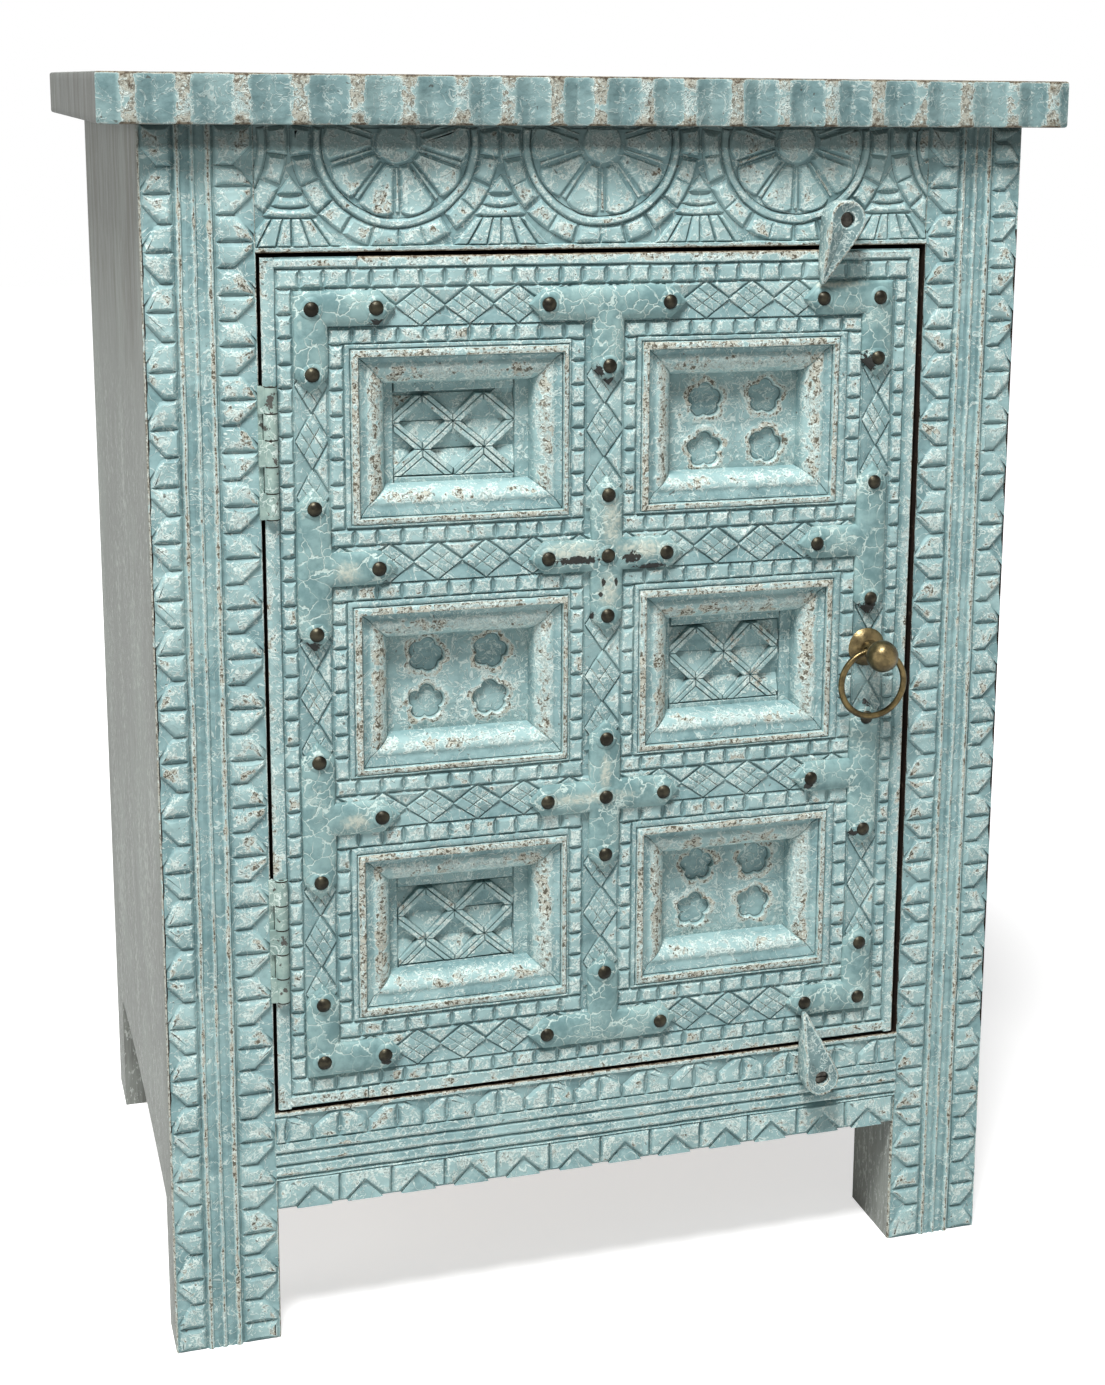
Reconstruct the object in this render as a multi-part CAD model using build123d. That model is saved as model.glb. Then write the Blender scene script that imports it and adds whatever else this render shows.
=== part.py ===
"""A one-door bedside cabinet of carved and painted wood, piece by piece.

Lengths are in millimetres. Pieces are drawn with x to the right, y from the front face back into the
cabinet and z up from the floor, with x = 0 midway between the sides. They are written with the origin
under the middle of the whole cabinet, on the floor.
"""

import os
from math import asin, cos, radians, sin

from build123d import *

# Carcass
body_width = 462.0
body_depth = 338.0
body_height = 636.0
side_thickness = 18.0
side_bottom = 74.0
side_arch_rise = 6.0
stile_width = 55.0
stile_thickness = 32.0
corner_post_depth = 20.0
back_leg_width = 40.0
back_leg_depth = 40.0
frame_rail_thickness = 26.0
apron_bottom = 74.0
apron_height = 55.0
frieze_height = 61.0
back_rail_height = 50.0
back_rail_thickness = 22.0
back_panel_thickness = 8.0
board_thickness = 16.0
door_stop_height = 8.0
shelf_share = 0.43
cleat_size = 15.0

# Slab
slab_thickness = 24.0
slab_side_overhang = 19.0
slab_front_overhang = 15.0
slab_back_overhang = 9.0
crest_width = 5.5
flute_depth = 3.0
crests = [-236, -210.5, -183.5, -156, -129, -104, -78, -55, -30.5, -8.5]
crests += [15.5, 38, 63, 88, 114, 140, 164, 190, 216.5, 240]

# Joinery
tenon_length = 18.0
tenon_thickness = 8.0
tenon_shoulder = 9.0
groove_depth = 6.0
fit_clearance = 0.15

# Door
door_thickness = 26.0
door_gap_hinge = 1.2
door_gap_lock = 2.4
door_gap_top = 2.2
door_gap_bottom = 1.6
door_stop_gap = 0.5
door_stile_width = 47.6
door_rail_height = 50.0
muntin_width = 46.0
left_coffer_share = 0.508
panel_setback = 16.0
panel_thickness = 7.0

# Coffer mouldings
moulding_width = 15.0
moulding_setback = 2.5
moulding_bevel_width = 6.5
moulding_bevel_drop = 2.5
moulding_nose_width = 14.2
moulding_nose_depth = 11.0

# Straps and their nails
strap_width = 17.0
strap_rise = 3.0
strap_arm = 42.0
strap_inset = 23.8
nail_spacing = 32.0
nail_radius = 4.0
nail_rise = 2.4
nail_shank_radius = 1.1
nail_length = 12.0
nail_clearance = 0.1

# Hinges
hinge_length = 66.0
hinge_knuckles = 5
hinge_barrel_radius = 3.2
hinge_pin_radius = 1.3
hinge_leaf_thickness = 1.5
hinge_leaf_depth = 22.0
hinge_axis_inset = 3.6
hinge_axis_depth = -0.5
hinge_upper_drop = 95.3
hinge_lower_rise = 93.4
hinge_clearance = 0.3
pin_clearance = 0.05
leaf_screw_count = 3
leaf_screw_head_radius = 2.6
leaf_screw_radius = 1.3
leaf_screw_length = 13.0

# Turn buttons
button_inset = 50.5
button_upper_rise = 14.0
button_lower_drop = 15.0
button_head_radius = 10.0
button_upper_reach = 35.0
button_lower_reach = 38.0
button_upper_lean = 17.0
button_lower_lean = 13.0
button_tip_radius = 1.4
button_thickness = 14.0
button_tip_thickness = 6.0
button_relief_start = 27.0
button_relief = 3.4
button_clearance = 0.4
button_screw_radius = 2.0
button_screw_head_radius = 3.6
button_screw_head_depth = 5.0
button_well_radius = 4.1
button_screw_length = 34.0

# Ring pull
pull_rise = 5.6
rosette_radius = 10.6
rosette_rise = 5.0
neck_radius = 4.8
ball_radius = 8.6
ball_depth = 21.0
eye_depth = 9.5
eye_radius = 2.45
ring_radius = 18.3
ring_wire_radius = 1.75
ring_drop = 0.3

# Worked out from the sizes above
half_width = body_width / 2
opening_side = half_width - stile_width
apron_top = apron_bottom + apron_height
frieze_bottom = body_height - frieze_height
inner_side = half_width - side_thickness
post_back = stile_thickness + corner_post_depth
leg_front = body_depth - back_leg_depth
leg_inner = half_width - back_leg_width
door_left = -opening_side + door_gap_hinge
door_right = opening_side - door_gap_lock
door_bottom = apron_top + door_gap_bottom
door_top = frieze_bottom - door_gap_top
coffer_height = (door_top - door_bottom - 4 * door_rail_height) / 3
coffers_width = door_right - door_left - 2 * door_stile_width - muntin_width
muntin_left = door_left + door_stile_width + left_coffer_share * coffers_width
muntin_right = muntin_left + muntin_width
lock_stile_left = door_right - door_stile_width
hinge_x = door_left + hinge_axis_inset
hinge_upper_height = door_top - hinge_upper_drop
hinge_lower_height = door_bottom + hinge_lower_rise
button_x = opening_side - button_inset
button_upper_height = frieze_bottom + button_upper_rise
button_lower_height = apron_top - button_lower_drop
pull_x = door_right - strap_inset
pull_height = (door_bottom + door_top) / 2 + pull_rise
board_top = apron_top + door_stop_height
shelf_height = board_top + shelf_share * (body_height - board_top)
ball_front = ball_depth + ball_radius
front_y = (ball_front - body_depth - slab_back_overhang) / 2
slab_half_width = half_width + slab_side_overhang
strap_middle = (muntin_left + muntin_right) / 2

nodes = {}


def block(low, high):
    """A board between its lowest and its highest corner."""
    size = [b - a for a, b in zip(low, high)]
    return Pos(*[(a + b) / 2 for a, b in zip(low, high)]) * Box(*size)


def plate(outline, y_front, y_back):
    """A plate between two depths, whose outline is a face drawn in x and z."""
    return Pos(0, y_back, 0) * extrude(Plane.XZ * outline, y_back - y_front)


def rod(radius, start, end):
    """A round bar between two points that differ along one axis."""
    length = (Vector(*end) - Vector(*start)).length
    return Plane(origin=start, z_dir=Vector(*end) - Vector(*start)) * Cylinder(
        radius, length, align=(Align.CENTER, Align.CENTER, Align.MIN)
    )


def cap(radius, rise):
    """A low dome that bulges to -y from a flat round base at the origin."""
    ball = (radius**2 + rise**2) / (2 * rise)
    half_turn = asin(radius / ball) / 2
    over = (ball * sin(half_turn), ball - rise - ball * cos(half_turn))
    edge = Line((0, -rise), (0, 0)) + Line((0, 0), (radius, 0))
    dome = make_face(edge + ThreePointArc((radius, 0), over, (0, -rise)))
    return revolve(dome, Axis.Y)


def tongue(low, high, along, room=0.0):
    """The tenons of a board, joined through it. along is 0 for x and 2 for z, and room widens the
    tongue into its mortises."""
    across = 2 - along
    start, end = list(low), list(high)
    middle = (low[1] + high[1]) / 2
    start[along] -= tenon_length + room
    end[along] += tenon_length + room
    start[across] += tenon_shoulder - room
    end[across] -= tenon_shoulder - room
    start[1] = middle - tenon_thickness / 2 - room
    end[1] = middle + tenon_thickness / 2 + room
    return block(start, end)


def cut(board, *tools):
    """The board less each tool that reaches it."""
    reach = board.bounding_box()
    for tool in tools:
        if reach.overlaps(tool.bounding_box()):
            board = board - tool
    return board


# Hinges: a leaf on the frame, a leaf on the door, a pin, and the screws of both leaves
hinge_heights = {"upper": hinge_upper_height, "lower": hinge_lower_height}
knuckle_length = hinge_length / hinge_knuckles
frame_leaf_x = -opening_side
door_leaf_x = door_left


def hinge_span(middle, grow=0.0):
    """The lowest and the highest point of a hinge, or of the room for it."""
    return middle - hinge_length / 2 - grow, middle + hinge_length / 2 + grow


def barrel_part(middle, owner, radius, grow=0.0):
    """Every second knuckle as a round bar: owner 0 starts with the lowest one, owner 1 with the next."""
    bottom, _ = hinge_span(middle)
    bars = []
    for i in range(owner, hinge_knuckles, 2):
        low = bottom + i * knuckle_length - grow
        high = bottom + (i + 1) * knuckle_length + grow
        bars.append(rod(radius, (hinge_x, hinge_axis_depth, low), (hinge_x, hinge_axis_depth, high)))
    return Part() + bars


def leaf_screw_places(middle, owner):
    """Where the screws of one leaf go in, and which way."""
    face_x = frame_leaf_x if owner == 0 else door_leaf_x
    way = -1 if owner == 0 else 1
    depth = (hinge_leaf_depth + hinge_barrel_radius) / 2
    step = hinge_length / leaf_screw_count
    bottom, _ = hinge_span(middle)
    return [((face_x, depth, bottom + (i + 0.5) * step), way) for i in range(leaf_screw_count)]


def leaf_screw(place, way, room=0.0):
    """A countersunk screw whose head is flush with the leaf, or its hole."""
    x, y, z = place
    head = Plane(origin=place, z_dir=(way, 0, 0)) * Cone(
        leaf_screw_head_radius + room,
        leaf_screw_radius + room,
        hinge_leaf_thickness,
        align=(Align.CENTER, Align.CENTER, Align.MIN),
    )
    return head + rod(leaf_screw_radius + room, place, (x + way * (leaf_screw_length + room), y, z))


def hinge_leaf(middle, owner):
    """A leaf with its knuckles. Its plate is let into the wood, flush with the edge."""
    low, high = hinge_span(middle)
    outer = frame_leaf_x - hinge_leaf_thickness if owner == 0 else door_leaf_x
    inner = outer + hinge_leaf_thickness
    front = hinge_axis_depth + hinge_barrel_radius + hinge_clearance
    board = block((outer, front, low), (inner, hinge_leaf_depth, high))
    arms = []
    for i in range(owner, hinge_knuckles, 2):
        start = low + i * knuckle_length + pin_clearance
        end = low + (i + 1) * knuckle_length - pin_clearance
        neck = hinge_leaf_thickness / 2
        arms.append(block((outer, hinge_axis_depth, start), (inner, front, end)))
        arms.append(
            block((outer, hinge_axis_depth - neck, start), (hinge_x, hinge_axis_depth + neck, end))
        )
    knuckles = barrel_part(middle, owner, hinge_barrel_radius, -pin_clearance)
    bore = rod(
        hinge_pin_radius + pin_clearance,
        (hinge_x, hinge_axis_depth, low),
        (hinge_x, hinge_axis_depth, high),
    )
    screws = [leaf_screw(*spot, fit_clearance) for spot in leaf_screw_places(middle, owner)]
    leaf = board + arms + knuckles - bore
    return cut(leaf, *screws)


hinge_rooms = []
barrel_rooms = []
leaf_screw_holes = []
frame_screws = []
door_screws = []
for name, middle in hinge_heights.items():
    low, high = hinge_span(middle, hinge_clearance)
    back = hinge_leaf_depth + hinge_clearance
    hinge_rooms.append(
        block((frame_leaf_x - hinge_leaf_thickness - fit_clearance, -1, low), (frame_leaf_x, back, high))
    )
    hinge_rooms.append(
        block((door_leaf_x - 1, -1, low), (door_leaf_x + hinge_leaf_thickness + fit_clearance, back, high))
    )
    knuckle_room = hinge_barrel_radius + hinge_clearance
    barrel_rooms.append(
        block((door_leaf_x - 1, -1, low), (hinge_x + knuckle_room, hinge_axis_depth + knuckle_room, high))
    )
    nodes[f"hinge_{name}_frame_leaf"] = hinge_leaf(middle, 0)
    nodes[f"hinge_{name}_door_leaf"] = hinge_leaf(middle, 1)
    pin_low, pin_high = hinge_span(middle)
    nodes[f"hinge_{name}_pin"] = rod(
        hinge_pin_radius, (hinge_x, hinge_axis_depth, pin_low), (hinge_x, hinge_axis_depth, pin_high)
    )
    frame_screws += [leaf_screw(*spot) for spot in leaf_screw_places(middle, 0)]
    door_screws += [leaf_screw(*spot) for spot in leaf_screw_places(middle, 1)]
    for owner in (0, 1):
        spots = leaf_screw_places(middle, owner)
        leaf_screw_holes += [leaf_screw(*spot, fit_clearance) for spot in spots]
nodes["hinge_frame_screws"] = Compound(frame_screws)
nodes["hinge_door_screws"] = Compound(door_screws)

# Turn buttons: thick teardrops that pivot on one screw each and hold the door shut
button_places = {
    "upper": (button_upper_height, button_upper_reach, -button_upper_lean - 90),
    "lower": (button_lower_height, button_lower_reach, button_lower_lean + 90),
}
button_back = -button_clearance
button_front = button_back - button_thickness
button_holes = []
button_screws = []
for name, (height, reach, heading) in button_places.items():
    # drawn with the tip towards +x from the pivot, then turned to its heading
    outline = make_hull(
        Circle(button_head_radius).edges()
        + (Pos(reach - button_tip_radius, 0) * Circle(button_tip_radius)).edges()
    )
    button = plate(outline, button_front, button_back)
    tip_back = button_back - button_relief
    tip_front = button_back - button_tip_thickness
    under = Plane.XY * make_face(
        Polyline(
            (button_relief_start, button_back),
            (reach, button_back),
            (reach, tip_back),
            (button_relief_start + button_relief, tip_back),
            close=True,
        )
    )
    slope = Plane.XY * make_face(
        Polyline((button_head_radius, button_front), (reach, button_front), (reach, tip_front), close=True)
    )
    for pared in (under, slope):
        button -= Pos(0, 0, -button_head_radius) * extrude(pared, 2 * button_head_radius)
    well_back = button_front + button_screw_head_depth
    button -= rod(
        button_screw_radius + button_clearance / 2, (0, button_front, 0), (0, button_back, 0)
    )
    button -= rod(button_well_radius, (0, button_front, 0), (0, well_back, 0))
    place = Pos(button_x, 0, height)
    nodes[f"turn_button_{name}"] = place * Rot(0, -heading, 0) * button
    head_front = well_back - button_screw_head_radius + button_screw_radius
    screw_end = head_front + button_screw_length
    # the head bears on the bottom of the well
    head = rod(button_screw_head_radius, (0, head_front, 0), (0, well_back, 0))
    slot = block(
        (-button_screw_head_radius, head_front, -0.5),
        (button_screw_head_radius, head_front + 0.8, 0.5),
    )
    shank = rod(button_screw_radius, (0, well_back, 0), (0, screw_end, 0))
    button_screws.append(place * (head - slot + shank))
    hole = rod(
        button_screw_radius + fit_clearance / 3, (0, -1, 0), (0, screw_end + fit_clearance, 0)
    )
    button_holes.append(place * hole)
nodes["button_screws"] = Compound(button_screws)

# Straps: domed sheet over each joint of the door, with a nail near the end of each arm
strap_rows = [
    door_top - door_rail_height / 2,
    door_top - 1.5 * door_rail_height - coffer_height,
    door_bottom + 1.5 * door_rail_height + coffer_height,
    door_bottom + door_rail_height / 2,
]
strap_columns = [door_left + strap_inset, strap_middle, door_right - strap_inset]
headings = {"right": 0, "up": 90, "left": 180, "down": 270}


def strap_arm_solid(heading):
    """One arm: a low arched section that ends in a point."""
    half = strap_width / 2
    arch = make_face(
        Line((0, -half), (0, half)) + ThreePointArc((0, half), (-strap_rise, 0), (0, -half))
    )
    bar = Pos(-half, 0, 0) * extrude(Plane.YZ * arch, strap_arm + half)
    pointed = make_face(
        Polyline(
            (-half, -half),
            (strap_arm - half, -half),
            (strap_arm, 0),
            (strap_arm - half, half),
            (-half, half),
            close=True,
        )
    )
    return Rot(0, -headings[heading], 0) * (bar & plate(pointed, -strap_rise, 0))


def nail(clearance=0.0):
    """A domed nail standing on a strap, or the hole for its shank."""
    shank = rod(nail_shank_radius + clearance, (0, -strap_rise, 0), (0, nail_length + clearance, 0))
    if clearance:
        return shank
    return shank + Pos(0, -strap_rise, 0) * cap(nail_radius, nail_rise)


strap_kinds = {"straps_corner": [], "straps_tee_middle": [], "straps_tee_side": [], "straps_cross": []}
nails = []
nail_holes = []
for row, height in enumerate(strap_rows):
    for column, x in enumerate(strap_columns):
        arms = [way for way, there in zip(headings, (column < 2, row > 0, column > 0, row < 3)) if there]
        corner = row in (0, 3)
        side = column != 1
        kind = {
            (True, True): "straps_corner",
            (True, False): "straps_tee_middle",
            (False, True): "straps_tee_side",
            (False, False): "straps_cross",
        }[corner, side]
        angles = [radians(headings[arm]) for arm in arms]
        spots = [(x + nail_spacing * cos(a), height + nail_spacing * sin(a)) for a in angles]
        if corner == side:
            spots.append((x, height))
        strap = Pos(x, 0, height) * (Part() + [strap_arm_solid(arm) for arm in arms])
        holes = [Pos(nail_x, 0, nail_z) * nail(nail_clearance) for nail_x, nail_z in spots]
        strap_kinds[kind].append(cut(strap, *holes))
        nails += [Pos(nail_x, 0, nail_z) * nail() for nail_x, nail_z in spots]
        nail_holes += holes
for kind, straps in strap_kinds.items():
    nodes[kind] = Compound(straps)
nodes["strap_nails"] = Compound(nails)

# Ring pull: a domed rosette, a ball on a drilled neck, and a ring through the neck
pull = Pos(pull_x, 0, pull_height)
eye = pull * rod(eye_radius, (-neck_radius, -eye_depth, 0), (neck_radius, -eye_depth, 0))
neck = pull * rod(neck_radius, (0, 0, 0), (0, -ball_depth, 0))
pull_shank = rod(neck_radius / 2, (0, 0, 0), (0, door_thickness / 2, 0))
nodes["pull_knob"] = (
    neck + pull * (Pos(0, -ball_depth, 0) * Sphere(ball_radius)) + pull * pull_shank
) - eye
nodes["pull_rosette"] = cut(
    pull * cap(rosette_radius, rosette_rise),
    pull * rod(neck_radius + fit_clearance, (0, 0, 0), (0, -ball_depth, 0)),
)
pull_hole_end = door_thickness / 2 + fit_clearance
pull_hole = pull * rod(neck_radius / 2 + fit_clearance, (0, -1, 0), (0, pull_hole_end, 0))
nodes["pull_ring"] = (
    pull
    * Pos(0, -eye_depth, ring_drop - ring_radius)
    * Rot(90, 0, 0)
    * Torus(ring_radius, ring_wire_radius)
)

# Door frame: stiles run through, rails are tenoned between them, short muntins between the rails
rail_names = ["bottom", "lower", "upper", "top"]
rail_steps = [door_bottom + i * (door_rail_height + coffer_height) for i in range(4)]
rail_left = door_left + door_stile_width
rails = {
    name: ((rail_left, 0, z), (lock_stile_left, door_thickness, z + door_rail_height))
    for name, z in zip(rail_names, rail_steps)
}
muntins = {}
coffers = {}
for name, row, z in zip(["bottom", "middle", "top"], ["lower", "middle", "upper"], rail_steps):
    bottom = z + door_rail_height
    top = bottom + coffer_height
    muntins[name] = ((muntin_left, 0, bottom), (muntin_right, door_thickness, top))
    coffers[f"{row}_left"] = (rail_left, muntin_left, bottom, top)
    coffers[f"{row}_right"] = (muntin_right, lock_stile_left, bottom, top)


def panel_board(left, right, bottom, top, room=0.0):
    """A panel that reaches into the grooves around its coffer, or those grooves."""
    reach = groove_depth - fit_clearance + room
    low = (left - reach, panel_setback - (fit_clearance if room else 0), bottom - reach)
    high = (right + reach, panel_setback + panel_thickness + (fit_clearance if room else 0), top + reach)
    return block(low, high)


grooves = [panel_board(*sides, 2 * fit_clearance) for sides in coffers.values()]
rail_mortises = [tongue(*corners, 0, fit_clearance) for corners in rails.values()]
muntin_mortises = [tongue(*corners, 2, fit_clearance) for corners in muntins.values()]
door_holes = nail_holes + [pull_hole]
hinge_stile = block((door_left, 0, door_bottom), (rail_left, door_thickness, door_top))
hinge_tools = hinge_rooms + barrel_rooms + leaf_screw_holes
nodes["door_stile_hinge"] = cut(hinge_stile, *rail_mortises, *grooves, *door_holes, *hinge_tools)
lock_stile = block((lock_stile_left, 0, door_bottom), (door_right, door_thickness, door_top))
nodes["door_stile_lock"] = cut(lock_stile, *rail_mortises, *grooves, *door_holes)
for name, corners in rails.items():
    rail = cut(block(*corners), *muntin_mortises, *grooves) + tongue(*corners, 0)
    nodes[f"door_rail_{name}"] = cut(rail, *muntin_mortises, *door_holes)
for name, corners in muntins.items():
    muntin = cut(block(*corners), *grooves) + tongue(*corners, 2)
    nodes[f"door_muntin_{name}"] = cut(muntin, *door_holes)


# Coffer panels, and the mitred mouldings planted in front of them
def moulding_strip(length):
    """One strip along x with its outer edge on z = 0, cut to a mitre at both ends."""
    section = make_face(
        Polyline(
            (moulding_nose_depth, moulding_nose_width),
            (panel_setback, moulding_width),
            (panel_setback, 0),
            (moulding_setback, 0),
            (moulding_setback + moulding_bevel_drop, moulding_bevel_width),
        )
        + ThreePointArc(
            (moulding_setback + moulding_bevel_drop, moulding_bevel_width),
            (
                moulding_setback + 1.7 * moulding_bevel_drop,
                0.3 * moulding_bevel_width + 0.7 * moulding_nose_width,
            ),
            (moulding_nose_depth, moulding_nose_width),
        )
    )
    mitred = make_face(
        Polyline(
            (0, 0),
            (length, 0),
            (length - moulding_width, moulding_width),
            (moulding_width, moulding_width),
            close=True,
        )
    )
    return extrude(Plane.YZ * section, length) & plate(mitred, 0, panel_setback)


for name, (left, right, bottom, top) in coffers.items():
    nodes[f"door_panel_{name}"] = panel_board(left, right, bottom, top)
    wide, tall = moulding_strip(right - left), moulding_strip(top - bottom)
    nodes[f"door_moulding_{name}"] = Compound(
        [
            Pos(left, 0, bottom) * wide,
            Pos(right, 0, bottom) * Rot(0, -90, 0) * tall,
            Pos(right, 0, top) * Rot(0, 180, 0) * wide,
            Pos(left, 0, top) * Rot(0, 90, 0) * tall,
        ]
    )

# Front frame: two stiles that are also the front legs, the frieze and the apron
frieze = ((-opening_side, 0, frieze_bottom), (opening_side, frame_rail_thickness, body_height))
apron = ((-opening_side, 0, apron_bottom), (opening_side, frame_rail_thickness, apron_top))
frame_mortises = [tongue(*frieze, 0, fit_clearance), tongue(*apron, 0, fit_clearance)]
for name, corners in (("frieze_rail", frieze), ("apron_rail", apron)):
    nodes[name] = cut(block(*corners) + tongue(*corners, 0), *button_holes)
for name, side in (("left", -1), ("right", 1)):
    near, far = sorted((side * opening_side, side * half_width))
    stile = block((near, 0, 0), (far, stile_thickness, body_height))
    frame_hinge_tools = hinge_rooms + leaf_screw_holes if side < 0 else []
    nodes[f"stile_{name}"] = cut(stile, *frame_mortises, *frame_hinge_tools)
    near, far = sorted((side * opening_side, side * inner_side))
    nodes[f"corner_post_{name}"] = block((near, stile_thickness, 0), (far, post_back, body_height))

# Sides, back legs and back
back_y = body_depth - back_rail_thickness
rail_low = (-leg_inner, back_y, side_bottom)
back_rails = {
    "top": ((-leg_inner, back_y, body_height - back_rail_height), (leg_inner, body_depth, body_height)),
    "bottom": (rail_low, (leg_inner, body_depth, side_bottom + back_rail_height)),
}


def back_board(room=0.0):
    """The back panel, or its grooves."""
    slack = fit_clearance if room else 0
    reach = groove_depth - fit_clearance + room
    middle = body_depth - back_rail_thickness / 2
    low = side_bottom + back_rail_height - reach
    high = body_height - back_rail_height + reach
    return block(
        (-leg_inner - reach, middle - back_panel_thickness / 2 - slack, low),
        (leg_inner + reach, middle + back_panel_thickness / 2 + slack, high),
    )


back_groove = back_board(2 * fit_clearance)
back_mortises = [tongue(*corners, 0, fit_clearance) for corners in back_rails.values()]
nodes["back_panel"] = back_board()
for name, corners in back_rails.items():
    nodes[f"back_rail_{name}"] = cut(block(*corners), back_groove) + tongue(*corners, 0)
for name, side in (("left", -1), ("right", 1)):
    near, far = sorted((side * leg_inner, side * half_width))
    leg = block((near, leg_front, 0), (far, body_depth, body_height))
    nodes[f"leg_back_{name}"] = cut(leg, back_groove, *back_mortises)
    side_middle = (stile_thickness + leg_front) / 2
    outline = make_face(
        Polyline(
            (stile_thickness, side_bottom),
            (stile_thickness, body_height),
            (leg_front, body_height),
            (leg_front, side_bottom),
        )
        + ThreePointArc(
            (leg_front, side_bottom),
            (side_middle, side_bottom + side_arch_rise),
            (stile_thickness, side_bottom),
        )
    )
    near, far = sorted((side * inner_side, side * half_width))
    nodes[f"side_panel_{name}"] = Pos(near, 0, 0) * extrude(Plane.YZ * outline, side_thickness)

# Boards inside, on cleats. The bottom board's front edge stops the door
board_front = door_thickness + door_stop_gap
board_heights = {"bottom_board": board_top, "shelf": shelf_height}
for name, top in board_heights.items():
    bottom = top - board_thickness
    front = board_front if name == "bottom_board" else post_back
    main = block((-inner_side, front, bottom), (inner_side, back_y, top))
    corners = []
    for side in (-1, 1):
        near, far = sorted((side * opening_side, side * (inner_side + 1)))
        corners.append(block((near, 0, bottom), (far, post_back, top)))
        near, far = sorted((side * leg_inner, side * (inner_side + 1)))
        corners.append(block((near, leg_front, bottom), (far, body_depth, top)))
    nodes[name] = cut(main, *corners)
for name, top in (("bottom_cleats", board_top), ("shelf_cleats", shelf_height)):
    cleats = []
    for side in (-1, 1):
        near, far = sorted((side * inner_side, side * (inner_side - cleat_size)))
        under = top - board_thickness
        cleats.append(block((near, post_back, under - cleat_size), (far, leg_front, under)))
    nodes[name] = Compound(cleats)

# Slab: a thick plank whose front edge is gouged into upright flutes between narrow crests, spaced by
# hand. A half flute runs out at each corner
slab_top = body_height + slab_thickness
slab = block(
    (-slab_half_width, -slab_front_overhang, body_height),
    (slab_half_width, body_depth + slab_back_overhang, slab_top),
)
starts = [-2 * slab_half_width - crests[0]] + crests
ends = crests + [2 * slab_half_width - crests[-1]]
for start, end in zip(starts, ends):
    half_flute = (end - start - crest_width) / 2
    flute_radius = (flute_depth**2 + half_flute**2) / (2 * flute_depth)
    x, y = (start + end) / 2, flute_depth - slab_front_overhang - flute_radius
    slab -= rod(flute_radius, (x, y, body_height), (x, y, slab_top))
nodes["top_slab"] = slab

os.makedirs("parts", exist_ok=True)
for name, shape in nodes.items():
    export_step(Pos(0, front_y, 0) * shape, f"parts/{name}.step")
print(len(nodes), "nodes, front face at y =", front_y)
print("door hinge axis", hinge_x, front_y + hinge_axis_depth)
print("ring axis", pull_x, front_y - eye_depth, pull_height)
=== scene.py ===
"""Looks of a small one-door bedside cabinet: chip-carved wood under worn turquoise paint.

Pieces are shaped in millimetres, with x to the right, y back from the front face and z up from the
floor, and are brought to metres and to their place when they are done.
"""

import random
from math import acos, asin, atan2, cos, degrees, hypot, pi, radians, sin, sqrt

import bmesh
import bpy
from mathutils import Matrix, Vector, noise


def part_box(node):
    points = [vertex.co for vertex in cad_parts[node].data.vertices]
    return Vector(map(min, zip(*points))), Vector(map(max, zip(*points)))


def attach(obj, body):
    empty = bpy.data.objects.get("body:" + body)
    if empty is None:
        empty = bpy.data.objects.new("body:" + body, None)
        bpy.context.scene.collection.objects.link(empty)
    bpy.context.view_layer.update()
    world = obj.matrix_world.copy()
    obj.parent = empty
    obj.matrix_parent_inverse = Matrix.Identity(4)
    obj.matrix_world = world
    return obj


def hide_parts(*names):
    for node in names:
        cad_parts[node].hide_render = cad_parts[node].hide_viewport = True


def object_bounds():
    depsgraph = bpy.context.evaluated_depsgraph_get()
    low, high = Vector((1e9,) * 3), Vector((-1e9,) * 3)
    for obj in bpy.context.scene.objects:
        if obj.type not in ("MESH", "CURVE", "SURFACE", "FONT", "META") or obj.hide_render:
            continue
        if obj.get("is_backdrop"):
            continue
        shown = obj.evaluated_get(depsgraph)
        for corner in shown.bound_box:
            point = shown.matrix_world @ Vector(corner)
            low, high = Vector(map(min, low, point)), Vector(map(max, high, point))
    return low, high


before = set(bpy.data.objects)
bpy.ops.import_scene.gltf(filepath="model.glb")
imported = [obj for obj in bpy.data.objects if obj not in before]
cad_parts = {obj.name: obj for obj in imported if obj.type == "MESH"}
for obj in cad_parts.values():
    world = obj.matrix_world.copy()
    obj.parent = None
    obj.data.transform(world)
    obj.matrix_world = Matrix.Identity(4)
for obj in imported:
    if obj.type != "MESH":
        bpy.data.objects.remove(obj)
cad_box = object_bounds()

# ------------------------------
# Camera. It stands left of the cabinet and a little below its top, as tall as the slab, and looks
# down to the right. The lens is shifted, because the picture is cropped from a larger one.
MM = 0.001
front_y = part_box("stile_left")[0].y
picture_width, picture_height = 1105, 1385
focal_pixels = 2176.6
axis_right_pixels, axis_down_pixels = 621.3, 523.0
yaw, pitch, roll = 0.309, -0.199, 0.010

ahead = Vector((sin(yaw) * cos(pitch), cos(yaw) * cos(pitch), sin(pitch)))
level_right = Vector((cos(yaw), -sin(yaw), 0))
level_up = level_right.cross(ahead)
right = level_right * cos(roll) + level_up * sin(roll)
up = level_up * cos(roll) - level_right * sin(roll)

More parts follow.
